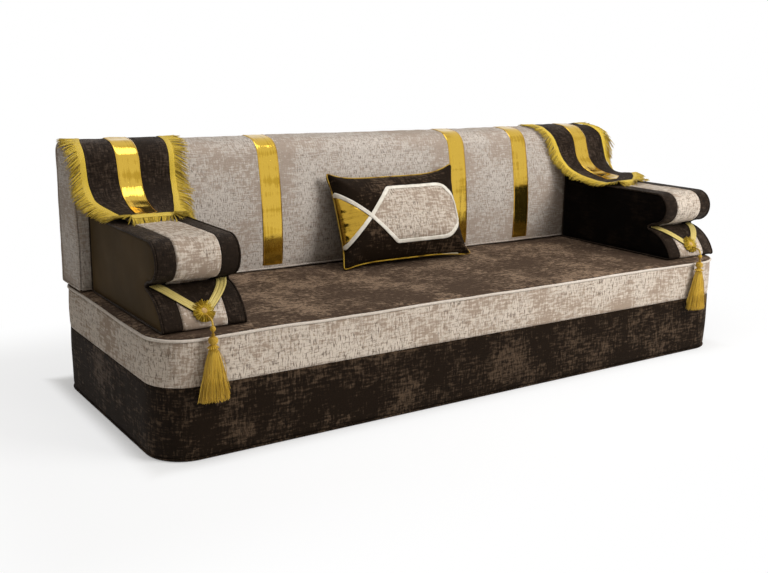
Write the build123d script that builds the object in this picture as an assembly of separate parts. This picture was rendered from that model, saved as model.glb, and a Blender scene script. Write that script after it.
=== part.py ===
# Majlis floor sofa: a long floor seat, a leaning back cushion, two roll-front arms,
# two fringed arm throws, a throw pillow and two hanging tassels. Millimetres, +Z up,
# front towards -Y, origin on the floor under the middle of the seat.
from build123d import *
import os
from math import radians, tan

os.makedirs("parts", exist_ok=True)

# Covers, cords and running gaps shared by every cushion
fit_gap = 0.3
cover_thickness = 5
piping_radius = 3
seat_piping_radius = 4
trim_thickness = 0.8
edge_radius = 8

# Seat cushion
seat_length = 2200
seat_depth = 830
seat_corner_radius = 110
seat_height = 330
lower_border_height = 204
bottom_panel_thickness = 2
bottom_piping_height = 5
seat_crown_rise = 6
seat_crown_roll = 80
foam_split_height = 150
crown_rise_shares = (0, 0.52, 0.86, 1)
crown_inset_shares = (0, 0.2, 0.52, 1)

# Hook and loop strips that hold the back cushion on the seat
strip_length = 300
strip_width = 50
strip_thickness = 1.5
strip_pitch = 850
strip_count = 3

# Back cushion
back_height = 437
back_front_height = 420
back_depth = 170
back_rear_margin = 43
back_lean = 42
back_front_bulge = 18
back_shoulder_radius = 70
back_rear_radius = 40
gold_stripe_width = 74
gold_stripe_places = (-453, 332, 639)

# Arms
arm_width = 240
arm_height = 232
arm_front_margin = 46
arm_rear_gap = 4
arm_rise = 31
arm_rise_run = 110
roll_bulge = 26
notch_depth = 130
notch_height = 102
notch_radius = 5
chin_radius = 24
nose_underside = 120
left_arm_inset = 33
right_arm_inset = 0
left_nose_setback = 36
right_nose_setback = 34
arm_stripe_width = 126

# Flap, braid and rosette on each arm
flap_thickness = 1.5
flap_side_margin = 12
flap_tip_height = 22
braid_width = 18
rosette_radius = 26
rosette_thickness = 7
petal_radius = 6
petal_count = 16
rosette_rise_share = 0.26
button_radius = 9
button_height = 5

# Tassel on its cord
cord_radius = 2.5
# Cord points in its own plane: behind the seat's front face, and above the seat height
tassel_cord_points = [(48.6, 50.4), (34, 51), (14, 52.5), (-3, 52.5), (-17, 49), (-22, 38.5)]
bead_radius = 7
bead_gap = 1.3
neck_length = 14
knob_radius = 12
knob_length = 20
collar_radius = 9.5
collar_length = 21
skirt_length = 133
skirt_top_radius = 12
skirt_half_width = 42
skirt_half_depth = 18
left_tassel_slant = -12
right_tassel_slant = -42

# Throws over the arms
throw_width = 264
throw_thickness = 2
throw_hem_width = 112
throw_taper_length = 135
throw_stripe_width = 80
throw_stripe_tip = 40
throw_stripe_margin = 75
throw_rear_drop = 250
throw_bridge_run = 135
throw_bridge_rise = 111
throw_sink = 12
fringe_length = 46
left_throw_hem = 440
right_throw_hem = 404
left_throw_shift = 20
right_throw_shift = -9

# Pillow
pillow_width = 505
pillow_height = 330
pillow_half_thickness = 62
pillow_pull_in = 18
pillow_corner_radius = 8
pillow_lean_degrees = 22
pillow_place = -12
pillow_piping_radius = 3.5
pillow_cover_thickness = 2.5
pillow_gold_margin = 16
dome_height_shares = (0, 0.42, 0.72, 0.92, 1)
dome_inset_shares = (0, 0.1, 0.27, 0.52, 0.82)
panel_left_shares = (-0.52, -0.22)
panel_right_shares = (0.62, 0.88)
panel_height_shares = (0.52, 0.62, 0.2)
ribbon_width = 14

# Zips
zip_length = 1500
zip_tape_width = 30
zip_tape_thickness = 1
zip_chain_width = 6
zip_chain_thickness = 1.2
zip_end_margin = 60
slider_length = 14
slider_width = 11
slider_thickness = 4
pull_length = 30
pull_width = 8
ear_thickness = 2.4
pull_thickness = 1.6
pull_pin_radius = 1.4
seat_zip_height = 290
back_zip_rise = 60

# Levels and lines that the pieces share
front_y = -seat_depth / 2
rear_y = seat_depth / 2
piping_proud = 2 * piping_radius - cover_thickness
crown_base = seat_height + seat_piping_radius + fit_gap
seat_top = crown_base + seat_crown_rise
back_base = seat_top + 2 * strip_thickness + 3 * fit_gap
back_rear = rear_y - back_rear_margin
back_front = back_rear - back_depth
back_top = back_base + back_height
arm_base = seat_top + piping_proud + fit_gap
arm_top = arm_base + arm_height
arm_front = front_y + arm_front_margin
arm_rear = back_front - back_front_bulge / 2 - arm_rear_gap
skin_gap = cover_thickness + fit_gap
throw_gap = piping_proud + fit_gap


def save(node, shape):
    export_step(shape, os.path.join("parts", node + ".step"))


def slab(outline, bottom, top):
    return extrude(Pos(0, 0, bottom) * outline, amount=top - bottom)


def along_x(profile, left, right):
    return extrude(Plane.YZ.offset(left) * profile, amount=right - left)


def box_between(low, high):
    size = [b - a for a, b in zip(low, high)]
    return Pos(*low) * Box(*size, align=(Align.MIN, Align.MIN, Align.MIN))


def rectangle_between(low, high):
    size = [b - a for a, b in zip(low, high)]
    return Pos(*low) * Rectangle(*size, align=(Align.MIN, Align.MIN))


def tube(path, radius):
    return sweep(Plane(path @ 0, z_dir=path % 0) * Circle(radius), path=path)


def grown(profile, amount):
    return offset(profile, amount=amount, kind=Kind.INTERSECTION)


# Seat cushion
def seat_outline(inset):
    return RectangleRounded(
        seat_length - 2 * inset, seat_depth - 2 * inset, seat_corner_radius - inset
    )


def seat_ring(radius, height):
    inset = cover_thickness - radius
    path = Pos(0, 0, height) * seat_outline(inset).face().outer_wire()
    return tube(path, radius)


def seat_crown(inset, drop):
    sections = []
    for rise, narrow in zip(crown_rise_shares, crown_inset_shares):
        outline = seat_outline(inset + narrow * seat_crown_roll)
        sections.append(Pos(0, 0, crown_base - drop + rise * seat_crown_rise) * outline)
    return loft(sections)


def seat_border(bottom, top):
    return slab(seat_outline(0) - seat_outline(cover_thickness), bottom, top)


def build_seat():
    foam_base = bottom_panel_thickness + fit_gap
    border_base = bottom_piping_height + piping_radius + fit_gap
    border_top = seat_height - seat_piping_radius - fit_gap
    save("seat_bottom_panel", slab(seat_outline(skin_gap), 0, bottom_panel_thickness))
    save("seat_lower_border", seat_border(border_base, lower_border_height))
    save("seat_upper_border", seat_border(lower_border_height, border_top))
    save("seat_base_foam", slab(seat_outline(skin_gap), foam_base, foam_split_height))
    core = slab(seat_outline(skin_gap), foam_split_height + fit_gap, crown_base - skin_gap)
    save("seat_top_foam", core + seat_crown(skin_gap, skin_gap))
    save("seat_top_panel", seat_crown(0, 0) - seat_crown(cover_thickness, cover_thickness))
    save("seat_top_piping", seat_ring(seat_piping_radius, seat_height))
    save("seat_bottom_piping", seat_ring(piping_radius, bottom_piping_height))


def build_strips():
    for node, level in (("hook_strips", 1), ("loop_strips", 2)):
        top = seat_top + level * (strip_thickness + fit_gap)
        middle = (back_front + back_rear) / 2
        strips = [
            Pos((i - (strip_count - 1) / 2) * strip_pitch, middle, top - strip_thickness / 2)
            * Box(strip_length, strip_width, strip_thickness)
            for i in range(strip_count)
        ]
        save(node, Compound(children=strips))


# Cushions made as a wrap round a side profile, closed by two end panels
def wrap(profile, left, right):
    edge = 2 * piping_radius - piping_proud + fit_gap
    return along_x(profile - grown(profile, -cover_thickness), left + edge, right - edge)


def end_panels(profile, left, right):
    panel = grown(profile, -skin_gap)
    near = along_x(panel, left, left + cover_thickness)
    far = along_x(panel, right - cover_thickness, right)
    return Compound(children=[near, far])


def end_piping(profile, left, right):
    rings = []
    wire = grown(profile, piping_proud - piping_radius).face().outer_wire()
    for x in (left + piping_radius - piping_proud, right - piping_radius + piping_proud):
        rings.append(tube(Plane.YZ.offset(x) * wire, piping_radius))
    return Compound(children=rings)


def core(profile, left, right):
    return along_x(grown(profile, -skin_gap), left + skin_gap, right - skin_gap)


def skin_strip(profile, gap, thickness, keep):
    return (grown(profile, gap + thickness) - grown(profile, gap)) & keep


# Back cushion
def back_profile():
    foot = (back_front, back_base)
    shoulder = (back_front + back_lean, back_base + back_front_height)
    crest = (back_rear, back_top)
    heel = (back_rear, back_base)
    lines = [
        SagittaArc(foot, shoulder, back_front_bulge),
        Line(shoulder, crest),
        Line(crest, heel),
        Line(heel, foot),
    ]
    face = make_face(lines)
    for corner, radius in (
        (foot, edge_radius),
        (shoulder, back_shoulder_radius),
        (crest, back_rear_radius),
        (heel, edge_radius),
    ):
        face = fillet(face.vertices().sort_by_distance(Vector(*corner))[0], radius)
    return face


def build_back():
    profile = back_profile()
    left = -seat_length / 2
    right = seat_length / 2
    save("backrest_foam", core(profile, left, right))
    save("backrest_cover", wrap(profile, left, right))
    save("backrest_end_panels", end_panels(profile, left, right))
    save("backrest_end_piping", end_piping(profile, left, right))
    foot_y = back_front - piping_radius - fit_gap
    foot_z = back_base + piping_radius
    bar = Cylinder(piping_radius, seat_length - 4 * piping_radius)
    save("backrest_foot_piping", Pos(0, foot_y, foot_z) * Rot(0, 90, 0) * bar)
    keep = rectangle_between(
        (front_y, back_base + 2 * piping_radius + edge_radius),
        (back_rear - back_rear_radius, back_top + back_rear_radius),
    )
    strip = skin_strip(profile, fit_gap, trim_thickness, keep)
    stripes = []
    for place in gold_stripe_places:
        stripes.append(along_x(strip, place - gold_stripe_width / 2, place + gold_stripe_width / 2))
    save("backrest_gold_stripes", Compound(children=stripes))


# Arms
def arm_profile(nose_setback):
    nose_radius = (arm_height - nose_underside) / 2
    nose_y = arm_front + nose_setback + nose_radius
    toe = (arm_front, arm_base)
    notch = (arm_front + notch_depth, arm_base + notch_height)
    chin = (nose_y, arm_base + nose_underside)
    tip = (nose_y - nose_radius, arm_top - nose_radius)
    brow = (nose_y, arm_top)
    dip = (arm_rear - arm_rise_run, arm_top)
    peak = (arm_rear, arm_top + arm_rise)
    heel = (arm_rear, arm_base)
    lines = [
        SagittaArc(toe, notch, roll_bulge),
        Line(notch, chin),
        ThreePointArc(chin, tip, brow),
        Line(brow, dip),
        TangentArc(dip, peak, tangent=(1, 0)),
        Line(peak, heel),
        Line(heel, toe),
    ]
    face = make_face(lines)
    for corner, radius in (
        (toe, edge_radius),
        (notch, notch_radius),
        (chin, chin_radius),
        (peak, edge_radius),
        (heel, edge_radius),
    ):
        face = fillet(face.vertices().sort_by_distance(Vector(*corner))[0], radius)
    return face


def lower_roll():
    toe = (arm_front, arm_base)
    return SagittaArc(toe, (arm_front + notch_depth, arm_base + notch_height), roll_bulge)


def front_prism(corners):
    outline = Plane.XZ.offset(-arm_rear) * make_face(Polyline(*corners, close=True))
    return extrude(outline, amount=arm_rear - front_y)


def triangle(middle, shrink):
    half = arm_width / 2 - flap_side_margin - shrink
    top = arm_base + notch_height + fit_gap
    tip = arm_base + flap_tip_height + shrink
    return front_prism([(middle - half, top), (middle + half, top), (middle, tip)])


def build_arm(side, left, nose_setback, tassel_slant):
    right = left + arm_width
    middle = left + arm_width / 2
    profile = arm_profile(nose_setback)
    save(side + "_arm_foam", core(profile, left, right))
    loop = wrap(profile, left, right)
    band = box_between(
        (middle - arm_stripe_width / 2, front_y, 0),
        (middle + arm_stripe_width / 2, rear_y, back_top),
    )
    save(side + "_arm_cover", loop - band)
    save(side + "_arm_stripe", loop & band)
    save(side + "_arm_side_panels", end_panels(profile, left, right))
    save(side + "_arm_piping", end_piping(profile, left, right))
    keep = rectangle_between(
        (front_y, arm_base + edge_radius),
        (arm_front + notch_depth, arm_base + notch_height),
    )
    flap = along_x(skin_strip(profile, fit_gap, flap_thickness, keep), left, right)
    save(side + "_arm_flap", flap & triangle(middle, 0))
    gap = flap_thickness + 2 * fit_gap
    trim = along_x(skin_strip(profile, gap, flap_thickness, keep), left, right)
    save(side + "_flap_braid", (trim & triangle(middle, 0)) - triangle(middle, braid_width))
    build_rosette(side, middle)
    build_tassel(side, middle, tassel_slant)


def rosette_plane(middle):
    roll = lower_roll()
    spot = roll @ rosette_rise_share
    along = roll % rosette_rise_share
    normal = Vector(0, -along.Y, along.X)
    rise = 2 * flap_thickness + 3 * fit_gap
    return Plane(Vector(middle, spot.X, spot.Y) + normal * rise, x_dir=(1, 0, 0), z_dir=normal)


def build_rosette(side, middle):
    plane = rosette_plane(middle)
    ruffle = extrude(Circle(rosette_radius), amount=rosette_thickness)
    for spot in PolarLocations(rosette_radius, petal_count):
        ruffle += spot * extrude(Circle(petal_radius), amount=rosette_thickness)
    save(side + "_rosette", plane * ruffle)
    dome = extrude(Circle(button_radius), amount=button_height)
    dome = fillet(dome.edges().group_by(Axis.Z)[-1], button_height - piping_radius)
    save(side + "_rosette_button", plane * Pos(0, 0, rosette_thickness + fit_gap) * dome)


# Tassel: a limp cord from the rosette over the front edge, then beads and a skirt
def cord_route(middle, slant):
    first = tassel_cord_points[0][0]
    last = tassel_cord_points[-1][0]
    route = []
    for back, rise in tassel_cord_points:
        x = middle + slant * (first - back) / (first - last)
        route.append((x, front_y + back, seat_height + rise))
    return route


def arc_radii(points):
    spots = [Vector(*p) for p in points]
    radii = []
    for before, spot, after in zip(spots, spots[1:], spots[2:]):
        turn = radians((spot - before).get_angle(after - spot))
        shorter = min((spot - before).length, (after - spot).length)
        radii.append(0.45 * shorter / tan(turn / 2))
    return radii


def build_tassel(side, middle, slant):
    route = cord_route(middle, slant)
    radii = arc_radii(route)
    path = FilletPolyline(*route, radius=radii).wire()
    cord = tube(path, cord_radius)
    print(side, "cord", round(path.length, 1), [round(r, 1) for r in radii])
    save(side + "_tassel_cord", cord)
    x, y, z = route[-1]
    bead_z = z - bead_gap - bead_radius
    knob_top = bead_z - bead_radius - neck_length
    knob_base = knob_top - knob_length
    collar_base = knob_base - collar_length
    spindle = [
        (0, bead_z),
        (bead_radius / 2, bead_z),
        (bead_radius / 2, bead_z - bead_radius - neck_length / 2),
        (bead_radius, knob_top),
        (knob_radius, knob_top - knob_length / 3),
        (knob_radius, knob_top - knob_length * 2 / 3),
        (bead_radius, knob_base),
        (collar_radius, knob_base - collar_length / 2),
        (collar_radius, collar_base),
        (0, collar_base),
    ]
    shape = revolve(Plane.XZ * make_face(Polyline(*spindle, close=True)), axis=Axis.Z)
    shape += Pos(0, 0, bead_z) * Sphere(bead_radius)
    save(side + "_tassel_head", Pos(x, y, 0) * shape)
    top = collar_base - fit_gap
    skirt = loft(
        [
            Pos(x, y, top) * Ellipse(skirt_top_radius, skirt_top_radius),
            Pos(x, y, top - skirt_length / 2) * Ellipse(
                (skirt_top_radius + skirt_half_width) / 2 + bead_radius / 2,
                (skirt_top_radius + skirt_half_depth) / 2,
            ),
            Pos(x, y, top - skirt_length) * Ellipse(skirt_half_width, skirt_half_depth),
        ]
    )
    save(side + "_tassel_skirt", skirt)


# Throws: a tongue of velvet over the back cushion, down its front and onto the arm
def throw_bed(hem):
    low = arm_base + notch_height
    start = front_y + hem - 2 * fringe_length
    bend = (back_front - throw_bridge_run, arm_top)
    meet = (back_front + back_lean - throw_sink, arm_top + throw_bridge_rise)
    lines = [
        Line((start, low), (start, arm_top)),
        Line((start, arm_top), bend),
        TangentArc(bend, meet, tangent=(1, 0)),
        Line(meet, (meet[0], low)),
        Line((meet[0], low), (start, low)),
    ]
    return back_profile() + make_face(lines)


def drape(hem, gap, thickness, extra):
    reach = front_y + hem - extra
    margin = back_rear_radius
    crest = back_rear - margin
    over = rectangle_between((reach, arm_top), (crest, back_top + margin))
    behind = rectangle_between(
        (crest, back_top - throw_rear_drop - extra), (back_rear + margin, back_top + margin)
    )
    bed = throw_bed(hem)
    return (grown(bed, gap + thickness) - grown(bed, gap)) & (over + behind)


def tongue(middle, hem, half_width, half_hem, taper):
    tip = front_y + hem
    wide = tip + taper
    end = rear_y + fringe_length
    corners = [
        (middle - half_hem, tip),
        (middle + half_hem, tip),
        (middle + half_width, wide),
        (middle + half_width, end),
        (middle - half_width, end),
        (middle - half_width, wide),
    ]
    return make_face(Polyline(*corners, close=True))


def build_throw(side, middle, hem):
    reach = throw_width / 2 + fringe_length
    outline = tongue(middle, hem, throw_width / 2, throw_hem_width / 2, throw_taper_length)
    column = slab(outline, 0, back_top + throw_rear_drop)
    cloth = along_x(drape(hem, throw_gap, throw_thickness, 0), middle - reach, middle + reach)
    cloth = cloth & column
    save(side + "_throw_cloth", cloth)
    below = box_between(
        (middle - reach, back_rear - fit_gap, 0),
        (middle + reach, rear_y + reach, back_top - throw_rear_drop),
    )
    wide = slab(offset(outline, amount=fringe_length), 0, back_top + throw_rear_drop)
    fringe = drape(hem, throw_gap, throw_thickness, fringe_length)
    fringe = along_x(fringe, middle - reach, middle + reach)
    save(side + "_throw_fringe", (fringe & wide) - (column - below))
    half = throw_stripe_width / 2
    ribbon = tongue(middle, hem + throw_stripe_margin, half, fit_gap, throw_stripe_tip)
    gap = throw_gap + throw_thickness + fit_gap
    strip = along_x(drape(hem, gap, trim_thickness, 0), middle - half, middle + half)
    save(side + "_throw_stripe", strip & slab(ribbon, 0, back_top + throw_rear_drop))


# Pillow, built flat in its own frame and then leant on the back cushion
def pillow_outline(inset, height):
    half_w = pillow_width / 2 - inset
    half_h = pillow_height / 2 - inset
    corners = [(-half_w, -half_h), (half_w, -half_h), (half_w, half_h), (-half_w, half_h)]
    middles = [
        (0, pillow_pull_in - half_h),
        (half_w - pillow_pull_in, 0),
        (0, half_h - pillow_pull_in),
        (pillow_pull_in - half_w, 0),
    ]
    arcs = []
    for i, middle in enumerate(middles):
        arcs.append(ThreePointArc(corners[i], middle, corners[(i + 1) % 4]))
    face = make_face(arcs)
    return Pos(0, 0, height) * fillet(face.vertices(), pillow_corner_radius)


def pillow_half(inset, rise):
    span = pillow_height / 2 - pillow_pull_in
    sections = []
    for up, narrow in zip(dome_height_shares, dome_inset_shares):
        height = up * (pillow_half_thickness + rise)
        sections.append(pillow_outline(inset + narrow * span, height))
    return loft(sections, ruled=True)


def pillow_prism(corners):
    return extrude(make_face(Polyline(*corners, close=True)), amount=2 * pillow_half_thickness)


def pillow_panel_corners(inset):
    half_w = pillow_width / 2
    half_h = pillow_height / 2
    near, far = panel_left_shares
    start, end = panel_right_shares
    low, high, tip = panel_height_shares
    edge = [
        (near * half_w + inset, 0),
        (far * half_w + inset / 2, high * half_h - inset),
        (start * half_w - inset / 2, high * half_h - inset),
        (end * half_w - inset, tip * half_h),
    ]
    mirrored = [(x, -y) for x, y in reversed(edge) if y]
    return edge + mirrored


def pillow_pieces():
    seam = pillow_piping_radius + 2 * fit_gap
    skin = seam + pillow_cover_thickness
    rim = pillow_outline(0, 0).face().outer_wire()
    piping = tube(rim, pillow_piping_radius)
    front = pillow_half(seam, 0) - pillow_half(skin, -pillow_cover_thickness)
    filling = pillow_half(skin + fit_gap, -skin)
    half_w = pillow_width / 2
    half_h = pillow_height / 2
    level = 2 * fit_gap
    panel_skin = pillow_half(seam, level + trim_thickness) - pillow_half(seam, level)
    ribbon_skin = pillow_half(seam, 2 * level + 2 * trim_thickness) - pillow_half(
        seam, 2 * level + trim_thickness
    )
    edge = pillow_gold_margin
    near = panel_left_shares[0] * half_w - ribbon_width
    gold = [(-half_w + edge, half_h - 3 * edge), (near, 0), (-half_w + edge, 3 * edge - half_h)]
    outer = pillow_prism(pillow_panel_corners(0))
    inner = pillow_prism(pillow_panel_corners(ribbon_width))
    ends = box_between(
        (-half_w, -half_h, pillow_half_thickness / 4), (half_w, half_h, 2 * pillow_half_thickness)
    )
    return {
        "pillow_piping": piping,
        "pillow_front_cover": front,
        "pillow_back_cover": mirror(front, about=Plane.XY),
        "pillow_filling": filling + mirror(filling, about=Plane.XY),
        "pillow_panel": panel_skin & inner,
        "pillow_ribbon": (ribbon_skin & (outer - inner)) & ends,
        "pillow_gold_corner": (panel_skin & pillow_prism(gold)) & ends,
    }


def build_pillow():
    pieces = pillow_pieces()
    turn = Rot(90 - pillow_lean_degrees, 0, 0)
    cover = turn * pieces["pillow_back_cover"]
    rim = turn * pieces["pillow_piping"]
    low = min(cover.bounding_box().min.Z, rim.bounding_box().min.Z)
    strip = skin_strip(back_profile(), fit_gap, trim_thickness, rectangle_between(
        (front_y, seat_top), (rear_y, back_top + back_rear_radius)))
    wall = along_x(strip, -pillow_width, pillow_width)
    y = back_front - pillow_height / 2
    lift = seat_top + fit_gap - low
    for _ in range(6):
        room = (Pos(0, y, lift) * cover).distance_to(wall)
        y += room - fit_gap
    spot = Pos(pillow_place, y, lift)
    for node, piece in pieces.items():
        save(node, spot * turn * piece)


# Zips at the rear of the seat and back covers
def build_zip(side, face_y, height):
    tape_y = face_y + fit_gap
    chain_y = tape_y + zip_tape_thickness
    slider_y = chain_y + zip_chain_thickness + fit_gap
    tape = Pos(0, tape_y + zip_tape_thickness / 2, height) * Box(
        zip_length, zip_tape_thickness, zip_tape_width
    )
    chain = Pos(0, chain_y + zip_chain_thickness / 2, height) * Box(
        zip_length - zip_tape_width, zip_chain_thickness, zip_chain_width
    )
    save(side + "_zip_tape", tape + chain)
    x = zip_length / 2 - zip_end_margin
    slider = Pos(x, slider_y + slider_thickness / 2, height) * Box(
        slider_length, slider_thickness, slider_width
    )
    eye = pull_pin_radius + fit_gap
    collar = eye + pull_thickness
    pin_y = slider_y + slider_thickness + fit_gap + collar
    ear_place = (slider_length - ear_thickness) / 2
    pin = Pos(x, pin_y, height) * Rot(0, 90, 0)
    slider += pin * Cylinder(pull_pin_radius, slider_length)
    for place in (-ear_place, ear_place):
        slider += Pos(x + place, (slider_y + pin_y) / 2, height) * Box(
            ear_thickness, pin_y - slider_y, 2 * collar
        )
    save(side + "_zip_slider", slider)
    plate = box_between(
        (x - pull_width / 2, pin_y - pull_thickness / 2, height - pull_length),
        (x + pull_width / 2, pin_y + pull_thickness / 2, height),
    )
    eyelet = pin * Cylinder(collar, pull_width)
    save(side + "_zip_pull", plate + eyelet - pin * Cylinder(eye, slider_length))


build_seat()
build_strips()
build_back()
build_arm("left", left_arm_inset - seat_length / 2, left_nose_setback, left_tassel_slant)
build_arm(
    "right", seat_length / 2 - right_arm_inset - arm_width, right_nose_setback, right_tassel_slant
)
build_throw("left", left_arm_inset + arm_width / 2 + left_throw_shift - seat_length / 2, left_throw_hem)
build_throw("right", seat_length / 2 - right_arm_inset - arm_width / 2 + right_throw_shift, right_throw_hem)
build_pillow()
build_zip("seat", rear_y, seat_zip_height)
build_zip("backrest", back_rear, back_base + back_zip_rise)
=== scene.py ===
from math import acos, asin, atan2, pi, radians, tan

import bpy
import numpy as np
from mathutils import Matrix, Vector, geometry


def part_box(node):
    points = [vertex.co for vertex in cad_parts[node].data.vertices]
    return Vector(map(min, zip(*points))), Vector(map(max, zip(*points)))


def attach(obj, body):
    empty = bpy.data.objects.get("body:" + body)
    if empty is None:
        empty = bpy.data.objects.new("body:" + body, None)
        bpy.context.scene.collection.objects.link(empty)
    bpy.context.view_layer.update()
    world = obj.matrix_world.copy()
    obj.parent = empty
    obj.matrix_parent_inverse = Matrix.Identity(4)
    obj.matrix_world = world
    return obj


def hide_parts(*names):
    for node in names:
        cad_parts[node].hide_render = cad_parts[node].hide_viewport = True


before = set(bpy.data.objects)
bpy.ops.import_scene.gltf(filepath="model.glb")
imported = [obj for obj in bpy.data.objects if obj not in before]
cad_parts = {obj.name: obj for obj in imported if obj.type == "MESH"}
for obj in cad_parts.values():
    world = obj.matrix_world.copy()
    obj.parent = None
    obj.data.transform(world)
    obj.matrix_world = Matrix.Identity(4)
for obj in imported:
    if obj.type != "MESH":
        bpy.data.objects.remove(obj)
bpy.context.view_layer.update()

scene = bpy.context.scene
print("majlis sofa: frame loaded,", len(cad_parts), "nodes")


# view and light
view = {
    "lens": 46.45,
    "place": (-1.968, -2.693, 1.047),
    "turns": (("Z", -34.211), ("X", 90 - 13.150), ("Z", 0.990)),  # yaw, pitch and roll
}


def addCamera():
    data = bpy.data.cameras.new("photoView")
    data.lens = view["lens"]
    data.sensor_fit = "HORIZONTAL"
    data.sensor_width = 36
    data.clip_end = 60
    camera = bpy.data.objects.new("photoView", data)
    place = Matrix.Translation(view["place"])
    for axis, angle in view["turns"]:
        place = place @ Matrix.Rotation(radians(angle), 4, axis)
    camera.matrix_world = place
    scene.collection.objects.link(camera)
    scene.camera = camera


def addLamp(name, place, aim, size, power, colour=(1, 1, 1)):
    data = bpy.data.lights.new(name, "AREA")
    data.shape = "RECTANGLE"
    data.size, data.size_y = size
    data.energy = power
    data.color = colour
    lamp = bpy.data.objects.new(name, data)
    lamp.location = place
    lamp.visible_glossy = name == "top"  # the foil shows one highlight, on the shoulder
    lamp.rotation_euler = (Vector(aim) - Vector(place)).to_track_quat("-Z", "Y").to_euler()
    scene.collection.objects.link(lamp)


addCamera()


# rows of points
def unit(v):
    return v / np.maximum(np.linalg.norm(v, axis=-1, keepdims=True), 1e-12)


def joined(*values):  # points from their coordinates
    return np.stack(np.broadcast_arrays(*values), axis=-1)


def ringed(rows):
    return np.concatenate([rows, rows[:1]])


def runLength(points):
    steps = np.linalg.norm(np.diff(points, axis=0), axis=1)
    return np.concatenate([[0], np.cumsum(steps)])


def between(spots, places, rows):  # what rows would hold at spots, where each stands at its place
    return np.stack([np.interp(spots, places, column) for column in rows.T], axis=-1)


def pointsAt(points, spots):
    return between(spots, runLength(points), points)


def resample(points, count, closed=False):
    points = ringed(points) if closed else points
    return pointsAt(points, np.linspace(0, runLength(points)[-1], count, endpoint=not closed))


def steps(points):  # from each point's neighbour to its other neighbour, round a loop
    return np.roll(points, -1, axis=0) - np.roll(points, 1, axis=0)


def softened(rows, times=1, closed=False):  # each row moves to the mean of its neighbourhood
    for _ in range(times):
        mean = (np.roll(rows, 1, axis=0) + rows * 2 + np.roll(rows, -1, axis=0)) / 4
        if not closed:
            mean[0], mean[-1] = rows[0], rows[-1]
        rows = mean
    return rows


def line(a, b, count=12):
    t = np.linspace(0, 1, count)[:, None]
    return np.array(a) * (1 - t) + np.array(b) * t


def bend(a, c, d, b, t):  # a smooth way from a to b that leaves towards c and arrives from d
    t = t[:, None]
    return a * (1 - t) ** 3 + 3 * c * t * (1 - t) ** 2 + 3 * d * t**2 * (1 - t) + b * t**3


def round2(turns, first=(1, 0), second=(0, 1)):  # arrows at these angles between two directions
    return np.cos(turns)[..., None] * np.array(first) + np.sin(turns)[..., None] * np.array(second)


def fullTurn(count):
    return np.arange(count) * 2 * pi / count


def bulgedArc(a, b, rise, count=40):  # bulges to the left of a to b
    a, b = np.array(a), np.array(b)
    chord = b - a
    half = np.linalg.norm(chord) / 2
    radius = (half**2 + rise**2) / (2 * rise)
    left = np.array([-chord[1], chord[0]]) / (2 * half)
    middle = (a + b) / 2 + left * (rise - radius)
    start = atan2(*(a - middle)[::-1])
    return middle + radius * round2(start - np.linspace(0, 2 * asin(half / radius), count))


def softLoop(sides, radii):  # joins rows of points, and rounds the corner before each
    corners = []
    for i, radius in enumerate(radii):
        before, after = sides[i - 1], sides[i]
        ways = unit(before[-1] - before[-2]), unit(after[1] - after[0])
        turn = acos(min(1, max(-1, float(ways[0] @ ways[1]))))
        corners.append((radius * tan(turn / 2), turn, radius))
    cut = []
    for i, side in enumerate(sides):
        s = runLength(side)
        low, high = corners[i][0], s[-1] - corners[(i + 1) % len(sides)][0]
        spots = np.concatenate([[low], s[(s > low + 1e-5) & (s < high - 1e-5)], [high]])
        cut.append(pointsAt(side, spots))
    loop = []
    for i, side in enumerate(cut):
        _, turn, radius = corners[i]
        if radius:
            before, hold = cut[i - 1], 4 / 3 * tan(turn / 4) * radius
            leaving = before[-1] + unit(before[-1] - before[-2]) * hold
            arriving = side[0] - unit(side[1] - side[0]) * hold
            loop.append(bend(before[-1], leaving, arriving, side[0], np.linspace(0, 1, 14)[1:-1]))
        loop.append(side)
    loop = np.vstack(loop)
    return loop[np.linalg.norm(loop - np.roll(loop, 1, axis=0), axis=1) > 1e-5]


def loopNormals(loop):  # outward, for a loop that runs clockwise
    along = unit(steps(loop))
    return np.stack([-along[:, 1], along[:, 0]], axis=1)


def ripple(points, wave, seed, layers=2):  # smooth, the same each run, about -1 to 1
    draw = np.random.default_rng(seed)
    total = np.zeros(points.shape[:-1])
    for layer in range(layers):
        for _ in range(5):
            way = unit(draw.normal(size=points.shape[-1]))
            phase = draw.uniform(0, 2 * pi)
            total += np.sin(points @ way * 2 * pi * 2**layer / wave + phase) / 2**layer
    return total / 3.2


def smoothStep(x):
    x = np.clip(x, 0, 1)
    return x * x * (3 - 2 * x)


def hill(x, middle, width, power=2):  # 1 at its middle, falling away to both sides
    return np.exp(-(((x - middle) / width) ** power))


# meshes: each part has its points, its faces and one UV, in metres, for each corner
def gridPart(points, closeU=False, closeV=False, flip=False, u=None, v=None):
    rows, columns = points.shape[:2]
    middle, across = points.mean(axis=1), points[rows // 2]
    if u is None:
        u = runLength(ringed(middle) if closeU else middle)
    if v is None:
        v = runLength(ringed(across) if closeV else across)
    i = np.arange(rows if closeU else rows - 1)
    j = np.arange(columns if closeV else columns - 1)
    i, j = [x.ravel() for x in np.meshgrid(i, j, indexing="ij")]
    ends = [(i, j), (i + 1, j), (i + 1, j + 1), (i, j + 1)]
    if flip:
        ends = ends[::-1]
    faces = np.stack([(a % rows) * columns + b % columns for a, b in ends], axis=1)
    uv = np.stack([joined(u[a], v[b]) for a, b in ends], axis=1)
    return {"points": points.reshape(-1, 3), "faces": faces, "uv": uv.reshape(-1, 2)}


def flatPart(points, faces, uv, flip=False):
    faces = faces[:, ::-1] if flip else faces
    return {"points": points, "faces": faces, "uv": uv[faces].reshape(-1, 2)}


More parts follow.
